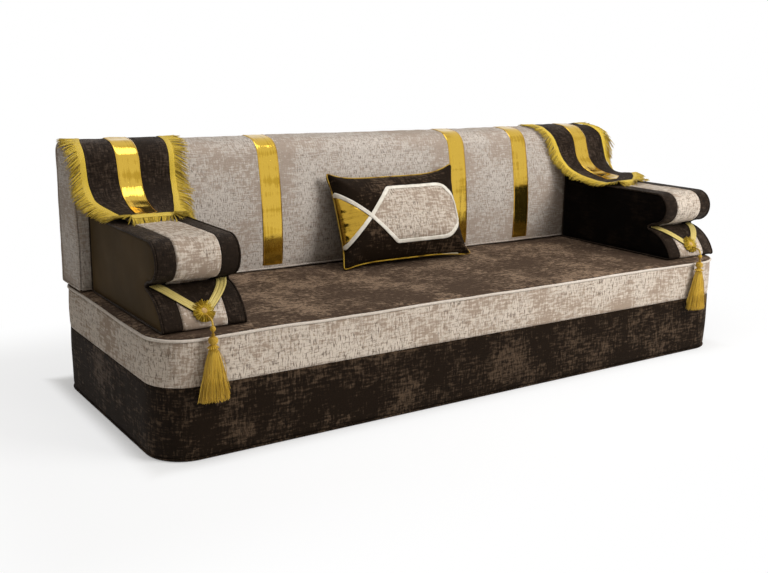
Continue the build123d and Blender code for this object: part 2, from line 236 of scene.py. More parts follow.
def tubePart(path, radius, sides=10, closed=False, caps=False):
    along = unit(steps(path) if closed else np.gradient(path, axis=0))
    side = np.cross(along[0], (0.0, 0.0, 1.0))
    if np.linalg.norm(side) < 0.2:
        side = np.cross(along[0], (1.0, 0.0, 0.0))
    rows = []
    for spot, way, size in zip(path, along, np.broadcast_to(radius, len(path))):
        side = unit(side - way * (side @ way))
        rows.append(spot + size * round2(fullTurn(sides), side, np.cross(way, side)))
    rows = np.array(rows)
    if caps:
        rows = np.concatenate([rows[:1] * 0 + path[0], rows, rows[:1] * 0 + path[-1]])
    return gridPart(rows, closeU=closed, closeV=True, flip=True)


def pipePart(path, radius, seed):  # a ring of sewn piping, never quite even
    return tubePart(path, radius * (1 + 0.05 * ripple(path, 0.02, seed)), sides=12, closed=True)


def fillPart(outline, spacing):  # triangles inside a flat loop, with each point's distance from it
    axes = [np.arange(a + spacing / 2, b, spacing) for a, b in zip(outline.min(axis=0), outline.max(axis=0))]
    inner = np.stack(np.meshgrid(*axes, indexing="ij"), axis=-1).reshape(-1, 2)
    ends = np.roll(outline, -1, axis=0)
    spans = (outline[:, 1] > inner[:, 1:]) != (ends[:, 1] > inner[:, 1:])
    rise = ends[:, 1] - outline[:, 1]
    rise[np.abs(rise) < 1e-12] = 1e-12
    crossing = outline[:, 0] + (inner[:, 1:] - outline[:, 1]) * (ends - outline)[:, 0] / rise
    inner = inner[(spans & (inner[:, :1] < crossing)).sum(axis=1) % 2 == 1]
    inner = inner[edgeDistance(inner, outline) > spacing * 0.6]
    spots = [Vector(p) for p in np.vstack([outline, inner])]
    count = len(outline)
    edges = [(k, (k + 1) % count) for k in range(count)]
    found = geometry.delaunay_2d_cdt(spots, edges, [], 1, 1e-7)
    points = np.array([tuple(p) for p in found[0]])
    return points, np.array(found[2]), edgeDistance(points, outline)


def edgeDistance(points, outline):
    best = np.full(len(points), 1e9)
    for a, b in zip(outline, np.roll(outline, -1, axis=0)):
        way = b - a
        t = np.clip((points - a) @ way / max(way @ way, 1e-12), 0, 1)
        best = np.minimum(best, np.linalg.norm(points - a - t[:, None] * way, axis=1))
    return best


def strandsPart(starts, ways, lengths, sag, radius, draw, own, wave, bends=5, sides=3):
    # thin yarns: each starts at its root, runs its way and sinks by sag towards its tip
    count = len(starts)
    t = np.linspace(0, 1, bends)
    spots = starts[:, None] + (ways * lengths[:, None])[:, None] * t[:, None]
    spots[:, :, 2] -= sag[:, None] * t**2
    stray = draw.normal(size=(count, 3)) * wave
    spots += stray[:, None] * np.sin(t * pi * 1.5)[:, None] * t[:, None]
    first = unit(np.cross(ways, draw.normal(size=(count, 3))))
    ring = round2(fullTurn(sides), first[:, None], np.cross(ways, first)[:, None])
    thick = radius * (1 - 0.55 * t**3)
    points = spots[:, :, None] + ring[:, None] * thick[:, None, None]
    k, i, j = np.meshgrid(np.arange(count), np.arange(bends - 1), np.arange(sides), indexing="ij")
    ends = [(i, j), (i, j + 1), (i + 1, j + 1), (i + 1, j)]
    faces = np.stack([((k * bends + a) * sides + b % sides).ravel() for a, b in ends], axis=1)
    uv = np.stack([joined(own[k] + b * 0.0003, lengths[k] * t[a]) for a, b in ends], axis=-2)
    tips = (np.arange(count)[:, None] * bends + bends - 1) * sides + np.arange(sides)
    cap = {"points": np.zeros((0, 3)), "faces": tips, "uv": np.repeat(own, sides)[:, None] * [1, 0]}
    return [{"points": points.reshape(-1, 3), "faces": faces, "uv": uv.reshape(-1, 2)}, cap]


stitch = {"radius": 0.00045, "rise": 0.0004}


def stitchParts(path, normals, pitch, length):  # a row of short raised threads along a path
    run = runLength(path)
    share = np.linspace(0, 1, 5)
    parts = []
    for start in np.arange(pitch / 2, run[-1] - length, pitch):
        places = start + share * length
        up = normals[np.clip(np.searchsorted(run, places), 0, len(normals) - 1)]
        spots = pointsAt(path, places) + up * (stitch["rise"] * np.sin(share * pi))[:, None]
        parts.append(tubePart(spots, stitch["radius"] * np.array([0.5, 1, 1, 1, 0.5]), sides=5, caps=True))
    return parts


def mergeParts(parts):
    points, faces, uv, start, held = [], [], [], 0, 0
    for part in parts:
        if len(part["points"]):  # a part with no points of its own goes on with those before it
            start, held = held, held + len(part["points"])
        points.append(part["points"])
        faces += (part["faces"] + start).tolist()
        uv.append(part["uv"])
    return np.vstack(points), faces, np.vstack(uv)


def nodeName(name):  # seatTopPanel is the CAD's seat_top_panel
    return "".join("_" + c.lower() if c.isupper() else c for c in name)


def addPiece(name, parts, finish, body, thick=0.0, replaced=()):
    points, faces, uv = mergeParts(parts if isinstance(parts, list) else [parts])
    mesh = bpy.data.meshes.new(name)
    mesh.from_pydata(points.tolist(), [], faces)
    layer = mesh.uv_layers.new(name="metres")
    layer.data.foreach_set("uv", uv.astype(np.float32).ravel())
    mesh.polygons.foreach_set("use_smooth", [True] * len(faces))
    mesh.materials.append(finish)
    mesh.update()
    obj = bpy.data.objects.new(name, mesh)
    scene.collection.objects.link(obj)
    if thick:
        shell = obj.modifiers.new("thickness", "SOLIDIFY")
        shell.thickness = thick
        shell.offset = -1
    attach(obj, body)
    if nodeName(name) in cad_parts:
        replaced = (nodeName(name),)
    if replaced:
        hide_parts(*replaced)
    return obj


# materials
class Wire:  # one output in a material, with plain arithmetic
    def __init__(self, finish, socket):
        self.finish, self.socket = finish, socket

    def math(self, operation, other=None, flip=False):
        ends = [self] if other is None else [self, other]
        if flip:
            ends.reverse()
        return self.finish.node("ShaderNodeMath", {"operation": operation}, dict(enumerate(ends)))

    def __add__(self, other):
        return self.math("ADD", other)

    __radd__ = __add__

    def __mul__(self, other):
        return self.math("MULTIPLY", other)

    __rmul__ = __mul__

    def __sub__(self, other):
        return self.math("SUBTRACT", other)

    def __rsub__(self, other):
        return self.math("SUBTRACT", other, flip=True)


class Finish:  # a material, or the world, under construction
    def __init__(self, name, owner=None):
        self.material = owner or bpy.data.materials.new(name)
        self.material.use_nodes = True
        self.tree = self.material.node_tree
        self.tree.nodes.clear()

    def node(self, kind, settings=None, inputs=None, output=0):
        made = self.tree.nodes.new(kind)
        for key, value in (settings or {}).items():
            setattr(made, key, value)
        for key, value in (inputs or {}).items():
            socket = made.inputs[key]
            if isinstance(value, Wire):
                self.tree.links.new(value.socket, socket)
            else:
                pad = socket.type == "RGBA" and len(value) == 3
                socket.default_value = (*value, 1) if pad else value
        return Wire(self, made.outputs[output]) if made.outputs else None

    def uv(self):
        return self.node("ShaderNodeUVMap", {"uv_map": "metres"})

    def place(self):  # the point on the object, in metres
        return self.node("ShaderNodeTexCoord", output="Object")

    def sides(self, vector):  # its first two coordinates
        first = self.node("ShaderNodeSeparateXYZ", {}, {0: vector})
        return first, Wire(self, first.socket.node.outputs[1])

    def noise(self, vector, scale, detail=3.0, rough=0.55, distortion=0.0):
        # a scale of three numbers stretches the noise along the cloth or across it
        if isinstance(scale, tuple):
            vector = self.node("ShaderNodeVectorMath", {"operation": "MULTIPLY"}, {0: vector, 1: scale})
            scale = 1.0
        inputs = {"Vector": vector, "Scale": scale, "Detail": detail, "Roughness": rough}
        return self.node("ShaderNodeTexNoise", {}, {**inputs, "Distortion": distortion})

    def step(self, value, low, high, start=0.0, end=1.0):
        inputs = {"Value": value, "From Min": low, "From Max": high, "To Min": start, "To Max": end}
        return self.node("ShaderNodeMapRange", {"interpolation_type": "SMOOTHSTEP"}, inputs)

    def mix(self, share, first, second):
        return self.node("ShaderNodeMix", {"data_type": "RGBA"}, {0: share, 6: first, 7: second}, 2)

    def bump(self, height, strength, distance):
        inputs = {"Height": height, "Strength": strength, "Distance": distance}
        return self.node("ShaderNodeBump", {}, inputs)

    def done(self, colour, roughness, height, strength, depth, **fixed):
        # the shader, with its fixed numbers set on its own sockets
        inputs = {"Base Color": colour, "Roughness": roughness, "Normal": self.bump(height, strength, depth)}
        inputs.update({key.replace("_", " "): value for key, value in fixed.items()})
        shader = self.node("ShaderNodeBsdfPrincipled", {}, inputs)
        self.node("ShaderNodeOutputMaterial", {}, {"Surface": shader})
        return self.material


def weaveHeight(finish, uv, pitch):  # over and under threads
    across, along = [(wire * (2 * pi / pitch)).math("SINE") for wire in finish.sides(uv)]
    return across * along


def shaded(colour, share):
    return tuple(share * c for c in colour)


velvetLook = {
    "beige": {
        "light": (0.60, 0.52, 0.435), "base": (0.325, 0.250, 0.190), "dark": (0.105, 0.073, 0.052),
        "lightFrom": (0.43, 0.54), "worn": (0.42, 0.56), "dashes": 0.85, "fine": 0.16, "size": 1.0,
        "roughness": 0.62, "sheen": 0.05,
    },
    "beigePiping": {
        "light": (0.66, 0.60, 0.53), "base": (0.55, 0.48, 0.41), "dark": (0.30, 0.24, 0.19),
        "lightFrom": (0.40, 0.60), "worn": (0.42, 0.56), "dashes": 0.3, "fine": 0.25, "size": 2.0,
        "roughness": 0.60, "sheen": 0.05,
    },
    "beigeBack": {
        "light": (0.58, 0.520, 0.46), "base": (0.370, 0.300, 0.245), "dark": (0.115, 0.088, 0.070),
        "lightFrom": (0.43, 0.56), "worn": (0.42, 0.58), "dashes": 0.80, "fine": 0.30, "size": 1.15,
        "roughness": 0.58, "sheen": 0.08,
    },
    "brown": {
        "light": (0.084, 0.0540, 0.0330), "base": (0.0120, 0.0070, 0.0038), "dark": (0.0026, 0.0017, 0.0011),
        "lightFrom": (0.48, 0.62), "worn": (0.36, 0.56), "dashes": 0.75, "fine": 0.35, "size": 0.95,
        "roughness": 0.75, "sheen": 0.02,
    },
    # the seat top: the border's velvet, painted lighter with sheen and light from above
    "brownLitTop": {
        "light": (0.30, 0.205, 0.136), "base": (0.066, 0.042, 0.0280), "dark": (0.013, 0.0085, 0.0058),
        "lightFrom": (0.45, 0.62), "worn": (0.36, 0.52), "dashes": 0.80, "fine": 0.45, "size": 0.62,
        "roughness": 0.72, "sheen": 0.03,
    },
    "brownArm": {
        "light": (0.072, 0.049, 0.034), "base": (0.0170, 0.0108, 0.0070), "dark": (0.0030, 0.0020, 0.0014),
        "lightFrom": (0.46, 0.64), "worn": (0.36, 0.52), "dashes": 0.80, "fine": 0.55, "size": 1.25,
        "roughness": 0.62, "sheen": 0.05,
    },
}


def crossVelvet(name, kind, lying=(25, 150), standing=(150, 30)):
    # crushed pile: short dashes that lie along the cloth and stand across it, in clusters
    look = velvetLook[kind]
    finish = Finish(name)
    uv, place = finish.uv(), finish.place()

    def dashes(scale, size, detail, rough):
        return finish.noise(uv, (scale[0] * size, scale[1] * size, 1), detail, rough)

    along, across = (dashes(scale, look["size"], 3.0, 0.62) for scale in (lying, standing))
    blotch = dashes((44, 56), look["size"], 3.0, 0.55)
    cluster = finish.noise(place, 7.0, 2.0, 0.5)
    dashAlong, dashAcross = (dashes(scale, look["size"] * 1.6, 2.0, 0.6) for scale in (lying, standing))
    fineAlong, fineAcross = (dashes(scale, 1, 1.0, 0.5) for scale in ((110, 1000), (1000, 120)))
    tone = along * 0.36 + across * 0.34 + blotch * 0.22 + cluster * 0.40 - 0.16
    light = finish.step(tone, *look["lightFrom"])
    worn = finish.step(cluster * 0.7 + blotch * 0.3, *look["worn"])
    marks = finish.step(dashAcross, 0.50, 0.68) + finish.step(dashAlong, 0.54, 0.72) * 0.8
    dark = marks.math("MINIMUM", 1.0) * worn * look["dashes"]
    fine = finish.step(fineAlong * 0.6 + fineAcross * 0.4, 0.36, 0.62)
    colour = finish.mix(light, look["base"], look["light"])
    colour = finish.mix(dark, colour, look["dark"])
    colour = finish.mix((1 - fine) * look["fine"], colour, look["dark"])
    height = fine * 0.5 + light * 0.6 + weaveHeight(finish, uv, 0.0016) * 0.08 - dark * 0.6
    roughness = finish.step(light, 0, 1, look["roughness"] + 0.1, look["roughness"] - 0.08)
    tint = tuple(min(1, c) for c in shaded(look["light"], 2))
    sheen = {"Sheen_Weight": look["sheen"], "Sheen_Roughness": 0.4, "Sheen_Tint": tint}
    return finish.done(colour, roughness, height, 0.6, 0.0010, Specular_IOR_Level=0.08, **sheen)


# near-black velvet for the arms' inner sides, darkened further as painted shade
napShadeLook = {"light": (0.0100, 0.0064, 0.0042), "base": (0.0022, 0.0014, 0.0010), "roughness": 0.8}


def napVelvet(name):  # smooth velvet whose pile lies in soft clouds, near black and darker still with painted shade
    look = napShadeLook
    finish = Finish(name)
    uv = finish.uv()
    cloud = finish.noise(finish.place(), 9.0, 4.0, 0.6, 0.6)
    streak = finish.noise(uv, (26, 90, 1), 3.0, 0.6)
    pile = finish.noise(uv, (900, 900, 1), 2.0, 0.6)
    lean = finish.step(cloud * 0.65 + streak * 0.35, 0.46, 0.68)
    colour = finish.mix(lean, look["base"], look["light"])
    colour = finish.mix((1 - pile) * 0.25, colour, shaded(look["base"], 0.3))
    roughness = finish.step(lean, 0, 1, look["roughness"] + 0.06, look["roughness"] - 0.08)
    height = pile * 0.5 + streak * 0.7 + lean * 0.6
    return finish.done(colour, roughness, height, 0.5, 0.0006, Specular_IOR_Level=0.04)


suedeLook = {
    "base": (0.041, 0.0250, 0.0085), "worn": (0.062, 0.0380, 0.0145), "grain": (0.026, 0.018, 0.010),
    "roughness": 0.65,
}


def suede(name):
    look = suedeLook
    finish = Finish(name)
    place = finish.place()
    cloud = finish.noise(place, 6.0, 4.0, 0.55)
    grain = finish.noise(place, 700.0, 3.0, 0.6)
    colour = finish.mix(finish.step(cloud, 0.35, 0.7), look["base"], look["worn"])
    colour = finish.mix(grain * 0.3, colour, look["grain"])
    roughness = finish.step(grain, 0.2, 0.8, look["roughness"] - 0.06, look["roughness"] + 0.1)
    return finish.done(colour, roughness, grain + cloud * 2.0, 0.35, 0.0005, Specular_IOR_Level=0.04)


foilLook = {
    "band": {
        "gold": (0.64, 0.42, 0.060),
        "deep": (0.42, 0.25, 0.018),
        "crinkle": 0.05,
        "rough": (0.06, 0.14),
    },
    "patch": {
        "gold": (0.44, 0.27, 0.035),
        "deep": (0.18, 0.10, 0.008),
        "crinkle": 0.12,
        "rough": (0.12, 0.26),
    },
}


def foil(name, kind):  # metallised gold cloth: mirror-like, with long streaks and a few creases, and painted shade and reflection in deep gold along them
    look = foilLook[kind]
    finish = Finish(name)
    uv = finish.uv()
    streak = finish.noise(uv, (5, 130, 1), 2.0, 0.5, 0.2)
    crease = finish.noise(uv, (30, 7, 1), 2.0, 0.5, 0.4)
    crinkle = finish.noise(uv, (70, 60, 1), 3.0, 0.55, 0.5)
    # painted shade and reflection: the deep gold along the creases and streaks
    creaseShade = finish.step(crease * 0.6 + streak * 0.4, 0.50, 0.62)
    colour = finish.mix(creaseShade * 0.7, look["gold"], look["deep"])
    weave = weaveHeight(finish, uv, 0.0011) * 0.006
    height = streak * 0.40 + crease * 0.30 + crinkle * look["crinkle"] + weave
    roughness = finish.step(crinkle, 0.3, 0.7, *look["rough"])
    return finish.done(colour, roughness, height, 0.4, 0.0030, Metallic=0.97)


# deep: the dark strands' colour, and painted shade in the grooves between the twists
yarnLook = {
    "yellow": {"light": (0.82, 0.60, 0.080), "base": (0.60, 0.41, 0.032), "deep": (0.16, 0.095, 0.006)},
    "orange": {"light": (0.72, 0.47, 0.055), "base": (0.50, 0.285, 0.018), "deep": (0.12, 0.060, 0.003)},
}


def yarn(name, kind, pitch=0.0016, share=0.5):  # twisted gold thread, each strand a little different
    look = yarnLook[kind]
    finish = Finish(name)
    uv = finish.uv()
    side, along = finish.sides(uv)
    own = finish.noise(uv, (3.1 * 5.0, 0.0, 5.0), 1.0, 0.5)
    twist = ((along * (2 * pi / pitch) + side * (2 * pi / 0.0011)).math("SINE") + 1) * 0.5
    colour = finish.mix(finish.step(own, 0.35, 0.6), look["base"], look["light"])
    colour = finish.mix(finish.step(own, 0.46, 0.34) * 0.85, colour, look["deep"])
    # painted shade: deep colour in the grooves between the twists
    colour = finish.mix((1 - twist) * share, colour, look["deep"])
    roughness = finish.step(twist, 0, 1, 0.5, 0.34)
    return finish.done(colour, roughness, twist, 0.5, 0.0004, Specular_IOR_Level=0.35)


# between and grooveShade: painted shade between the threads and in the grooves between the ribs
braidLook = {"thread": (0.72, 0.59, 0.19), "between": (0.40, 0.27, 0.040), "grooveShade": (0.20, 0.13, 0.02)}


def braidCloth(name):  # pale yellow braid: three ribs of slanting threads
    finish = Finish(name)
    uv = finish.uv()
    along, side = finish.sides(uv)
    rib = (side * (pi / 0.0060)).math("SINE").math("ABSOLUTE")
    thread = ((along * (2 * pi / 0.0034) + rib * 1.6).math("SINE") + 1) * 0.5
    # painted shade: darker between the threads, and in the grooves between the ribs
    colour = finish.mix(thread, braidLook["between"], braidLook["thread"])
    colour = finish.mix(finish.step(rib, 0.45, 0.05) * 0.8, colour, braidLook["grooveShade"])
    colour = finish.mix(finish.noise(uv, 90.0, 2.0) * 0.3, colour, (0.80, 0.70, 0.32))
    roughness = finish.step(thread, 0, 1, 0.55, 0.38)
    height = thread + rib * 0.8
    return finish.done(colour, roughness, height, 0.7, 0.0006, Sheen_Weight=0.1, Sheen_Roughness=0.3)


def satin(name, base, shade, sheen=0.3):
    finish = Finish(name)
    thread = finish.noise(finish.uv(), (250, 1600, 1), 2.0, 0.6)
    fold = finish.noise(finish.place(), 40.0, 3.0, 0.5)
    # painted shade: the darker shade colour where the noise marks folds
    colour = finish.mix(finish.step(fold, 0.35, 0.7), shade, base)
    colour = finish.mix(thread * 0.25, colour, shaded(base, 0.6))
    roughness = finish.step(thread, 0.3, 0.7, 0.30, 0.45)
    return finish.done(colour, roughness, thread + fold, 0.3, 0.0004, Sheen_Weight=sheen, Sheen_Roughness=0.3)


def plainCloth(name, base, shade, pitch=0.0009):
    finish = Finish(name)
    place = finish.place()
    inputs = {"Vector": place, "Scale": 0.31 / pitch, "Distortion": 0.6}
    weave = finish.node("ShaderNodeTexWave", {"wave_profile": "SIN"}, inputs)
    fuzz = finish.noise(place, 420.0, 3.0, 0.6)
    colour = finish.mix(finish.step(weave * 0.5 + fuzz * 0.5, 0.3, 0.7), shade, base)
    return finish.done(colour, finish.step(fuzz, 0.3, 0.7, 0.75, 0.9), weave + fuzz, 0.4, 0.0004)


def foamStuff(name):
    finish = Finish(name)
    place = finish.place()
    cells = finish.node("ShaderNodeTexVoronoi", {}, {"Vector": place, "Scale": 420.0})
    cloud = finish.noise(place, 12.0, 3.0)
    colour = finish.mix(finish.step(cloud, 0.35, 0.7), (0.80, 0.74, 0.56), (0.72, 0.64, 0.42))
    # painted shade: darker in the pores, at the cells' middles
    colour = finish.mix(finish.step(cells, 0.0, 0.6, 0.5, 0.0), colour, (0.52, 0.45, 0.28))
    return finish.done(colour, finish.step(cloud, 0.3, 0.7, 0.85, 0.95), cells, 0.6, 0.0008)


def brass(name):
    finish = Finish(name)
    place = finish.place()
    scuff = finish.noise(place, (260, 260, 9 * 260), 4.0, 0.65)
    dull = finish.step(finish.noise(place, 90.0, 3.0), 0.45, 0.65)
    colour = finish.mix(dull, (0.66, 0.47, 0.20), (0.36, 0.24, 0.10))
    roughness = finish.step(scuff * 0.6 + dull * 0.4, 0.2, 0.8, 0.22, 0.5)
    return finish.done(colour, roughness, scuff, 0.2, 0.0002, Metallic=0.95)


beigeVelvet = crossVelvet("beige_crushed_velvet", "beige")
palePiping = crossVelvet("beige_piping_velvet", "beigePiping")
backVelvet = crossVelvet("beige_back_velvet", "beigeBack", (22, 190), (190, 34))
brownVelvet = crossVelvet("brown_crushed_velvet", "brown")
# the seat top's velvet carries painted sheen and light from above
seatLitVelvet = crossVelvet("brown_seat_velvet", "brownLitTop", (34, 220), (120, 90))
armVelvet = crossVelvet("brown_arm_velvet", "brownArm")
innerShadeVelvet = napVelvet("dark_side_velvet_painted_shade")
sideSuede = suede("olive_brown_suede")
goldFoil = foil("gold_foil_cloth", "band")
crinkledFoil = foil("crinkled_gold_foil", "patch")
fringeYarn = yarn("yellow_gold_yarn", "yellow")
goldYarn = yarn("orange_gold_yarn", "orange")
goldCord = yarn("gold_cord_yarn", "orange", 0.0042, 0.6)
goldBraid = braidCloth("gold_braid")
tanSatin = satin("tan_satin", (0.66, 0.43, 0.15), (0.40, 0.24, 0.07))
creamRibbon = satin("cream_ribbon", (0.80, 0.75, 0.66), (0.62, 0.57, 0.48), 0.1)
orangeThread = satin("orange_thread", (0.62, 0.30, 0.03), (0.42, 0.18, 0.02))
darkLining = plainCloth("dark_lining", (0.022, 0.019, 0.017), (0.010, 0.009, 0.008))
zipCloth = plainCloth("zip_tape_cloth", (0.030, 0.024, 0.020), (0.012, 0.010, 0.009))
hookLoop = plainCloth("hook_and_loop", (0.045, 0.038, 0.032), (0.015, 0.012, 0.010), 0.0016)
foamFinish = foamStuff("cushion_foam")
brassFinish = brass("aged_brass")
print("materials made:", len(bpy.data.materials))


# heights and depths that the pieces share
levels = {
    "front": -0.415,
    "rear": 0.415,
    "seat": 0.330,
    "crownBase": 0.3343,
    "backBase": 0.3442,
    "backTop": 0.7812,
    "backRear": 0.372,
    "backFront": 0.202,
    "armBase": 0.3416,
    "armTop": 0.5736,
    "armFront": -0.369,
    "armRear": 0.189,
}


def spotOn(rows, ways, x, k):  # the point at X and place k of a side view, and the way out of the cloth there
    x, k = np.broadcast_arrays(x, k)
    flat, way = (between(k, np.arange(len(rows)), columns) for columns in (rows, ways))
    way = unit(way)
    return joined(x, flat[..., 0], flat[..., 1]), joined(0, way[..., 0], way[..., 1])


# tassel cords, from the route in the part's source
tassel = {
    "route": [
        (0.0486, 0.0504),
        (0.034, 0.051),
        (0.014, 0.0525),
        (-0.003, 0.0525),
        (-0.017, 0.049),
        (-0.022, 0.0385),
    ],
    "places": {"left": -0.947, "right": 0.980},
    "slant": {"left": -0.012, "right": -0.042},  # sideways, from the rosette to the bead
    "diameter": 0.005,
    "cordLength": {"left": 0.078, "right": 0.088},
    "plies": 3,
    "lay": 0.0125,  # one turn of the twist
    # radius, and how far down
    "head": (
        (0.0004, 0), (0.0048, 0.0012), (0.0073, 0.0068), (0.0054, 0.0124), (0.0027, 0.0152),
        (0.0026, 0.0190), (0.0050, 0.0212), (0.0050, 0.0226), (0.0030, 0.0248), (0.0064, 0.0275),
        (0.0118, 0.0325), (0.0128, 0.0390), (0.0104, 0.0452), (0.0060, 0.0486), (0.0090, 0.0512),
        (0.0106, 0.0560), (0.0098, 0.0610), (0.0116, 0.0680), (0.0004, 0.0688),
    ),
    "collars": ((0.0500, 0.0062, 15), (0.0585, 0.0046, 18)),  # how far down, width and pleats
    "thread": (0.00042, 0.0015),  # height and pitch of the thread that is wound round the head
    "skirtTop": 0.0640,
    "skirtLow": 0.1645,  # its ends, this far below the seat's top edge
    "yarns": 460,
    "strays": 18,
    "locks": 26,
    "yarn": 0.00082,
    # a place on the yarn that gives a dark colour, used as painted shade inside the tassel and under the
    # fringe
    "paintedShadeStrand": 0.5,
    "paleStrand": 1.4,
}


def routeLine(side):
    # the smooth line of the cord, as the curve itself gives it
    first, last = tassel["route"][0][0], tassel["route"][-1][0]
    data = bpy.data.curves.new(side + "CordLine", "CURVE")
    data.dimensions = "3D"
    data.resolution_u = 24
    spline = data.splines.new("NURBS")
    spline.points.add(len(tassel["route"]) - 1)
    for point, (back, rise) in zip(spline.points, tassel["route"]):
        x = tassel["places"][side] + tassel["slant"][side] * (first - back) / (first - last)
        point.co = (x, levels["front"] + back, levels["seat"] + rise, 1)
    spline.order_u = 3
    spline.use_endpoint_u = True
    holder = bpy.data.objects.new(side + "CordLine", data)
    scene.collection.objects.link(holder)
    bpy.context.view_layer.update()
    mesh = bpy.data.meshes.new_from_object(holder)
    points = np.array([tuple(v.co) for v in mesh.vertices])
    bpy.data.meshes.remove(mesh)
    bpy.data.objects.remove(holder)
    return points


def buildCord(side):
    path = resample(routeLine(side), 90)
    sideways = np.array([1.0, 0.0, 0.0])
    other = np.cross(unit(np.gradient(path, axis=0)), sideways)
    s = runLength(path)
    radius = tassel["diameter"] / 2
    parts = []
    for ply in range(tassel["plies"]):
        offset = round2(s / tassel["lay"] * 2 * pi + ply * 2 * pi / tassel["plies"], sideways, other)
        parts.append(tubePart(path + offset * radius * 0.5, radius * 0.56, caps=True))
    cord = addPiece(side + "TasselCord", parts, goldCord, side + "_tassel_cord")
    print(side, "cord", round(s[-1] * 1000, 1), "mm")


def roundProfile(spots):  # a smooth line through radius and height pairs
    k = np.linspace(0, len(spots) - 1, 12 * len(spots))
    low = np.minimum(k.astype(int), len(spots) - 2)
    x = (k - low)[:, None]
    slope = np.gradient(spots, axis=0) * 0.9
    fromEnds = (2 * x**3 - 3 * x**2 + 1) * spots[low] + (3 * x**2 - 2 * x**3) * spots[low + 1]
    return fromEnds + (x**3 - 2 * x**2 + x) * slope[low] + (x**3 - x**2) * slope[low + 1]


def buildTassel(side):
    x = tassel["places"][side] + tassel["slant"][side]
    y = levels["front"] + tassel["route"][-1][0]
    top = levels["seat"] + tassel["route"][-1][1] - 0.0013
    draw = np.random.default_rng(11 if side == "left" else 12)

    def oval(wide, deep, turns, z, shift=(0, 0)):
        return joined(x + wide * np.cos(turns) + shift[0], y + deep * np.sin(turns) + shift[1], z)

    outline = roundProfile(np.array([(radius, top - down) for radius, down in tassel["head"]]))
    radius, z = resample(outline, int(runLength(outline)[-1] / 0.00032)).T[..., None]
    turns, (thread, pitch) = fullTurn(48), tassel["thread"]
    radius = radius + thread * np.sin(z / pitch * 2 * pi + turns) * (radius > 0.002)
    parts = [gridPart(oval(radius, radius, turns, z), closeV=True)]
    turns = fullTurn(180)
    share = np.linspace(0, 1, 9)[:, None]
    for down, wide, pleats in tassel["collars"]:  # the ruffles below the knob
        size = 0.0078 + wide * share + 0.0016 * share * np.sin(turns * pleats)
        sink = top - down - 0.0075 * share + 0.0012 * share * np.cos(turns * pleats)
        parts.append(gridPart(oval(size, size, turns, sink), closeV=True))
    head = addPiece(side + "TasselHead", parts, goldCord, side + "_tassel")

    skirtTop = top - tassel["skirtTop"]
    height = skirtTop - (levels["seat"] - tassel["skirtLow"])
    turns = fullTurn(200)
    share = np.linspace(0, 0.80, 12)[:, None]  # the dark inside, seen only between the strands: painted shade
    bell = share**0.72
    rows = oval(0.0090 + 0.0250 * bell, 0.0090 + 0.0050 * bell, turns, skirtTop - height * share)
    rows = np.vstack([rows, [oval(0, 0, turns, rows[-1, :, 2])]])
    core = gridPart(rows, closeV=True)
    core["uv"] = core["uv"] * 0 + [tassel["paintedShadeStrand"], 0]
    t = np.linspace(0, 1, 10)
    paths = []
    for _ in range(tassel["yarns"]):
        a = draw.uniform(0, 2 * pi)
        lock = round(a * tassel["locks"] / pi) * pi / tassel["locks"]  # strands gather towards their tips
        swirl = a + (lock - a) * 0.80 * t**0.6 + 0.05 * draw.normal() * t
        bell = t**0.74 * (1 + (draw.uniform(0.80, 1.05) - 1) * t)
        drop = height * draw.uniform(0.93, 1.0) * t
        stray = (draw.normal(size=2) * 0.0016)[:, None] * np.sin(t * pi * 2) * t
        paths.append(oval(0.0108 + 0.0305 * bell, 0.0108 + 0.0078 * bell, swirl, skirtTop - drop, stray))
    for _ in range(tassel["strays"]):
        a, out = draw.uniform(0, 2 * pi), draw.uniform(1.06, 1.30)
        wide, deep = 0.0115 + 0.0300 * out * t**0.9, 0.0115 + 0.0080 * t**0.9
        shift = (draw.normal() * 0.003 * np.sin(t * pi * 1.7), 0)
        paths.append(oval(wide, deep, a, skirtTop - height * draw.uniform(0.75, 1.03) * t, shift))
    parts = [core]
    for k, path in enumerate(paths):
        made = tubePart(path, tassel["yarn"] * (1 - 0.3 * t), sides=4)
        made["uv"] = joined(k * 0.37 + 1, made["uv"][:, 0])
        parts.append(made)
    addPiece(side + "TasselSkirt", parts, goldYarn, side + "_tassel")
    buildCord(side)


for side in ("left", "right"):
    buildTassel(side)
print("tassels and their cords made")


# seat cushion
zips = {
    "length": 1.5,
    "tape": 0.030,
    "tooth": 0.0022,
    "flat": 0.80,  # the covers lie flat along them, this far from the middle
    "seat": 0.290,  # how high each one runs
    "backrest": 0.4042,
}
seat = {
    "length": 2.2,
    "depth": 0.83,
    "corner": 0.11,
    "foot": 0.0045,  # its lower border starts here
    "seam": 0.204,
    "upperEdge": 0.3262,
    "crown": 0.006,
    "roll": 0.08,
    "bulge": 0.0020,
    "waves": 0.0012,
    "edgeWaves": 0.0016,
    "cloth": 0.003,
    # how far in and how high its piping lies, and the piping's radius
    "pipings": {
        "Top": (0.0010, levels["seat"], 0.0042, palePiping),
        "Bottom": (0.0022, 0.0050, 0.0032, brownVelvet),
    },
}


def atZip(zipHeight, x, y, z):  # 1 along the zip at the rear, where the cover lies flat
    return hill(z, zipHeight, 0.024, 4) * (y > 0.3) * (np.abs(x) < zips["flat"])


def seatLoop(inset, count=440):
    x, y, r = seat["length"] / 2 - inset, seat["depth"] / 2 - inset, seat["corner"] - inset
    corners = [(-x, -y), (-x, y), (x, y), (x, -y)]
    sides = [line(corners[k], corners[(k + 1) % 4], 60) for k in range(4)]
    return resample(softLoop(sides, [r] * 4), count, closed=True)


def edgeWave(points):  # the small rise and fall along the seat's top seam
    return seat["edgeWaves"] * ripple(points * [1, 1, 0], 0.34, 31, 2)


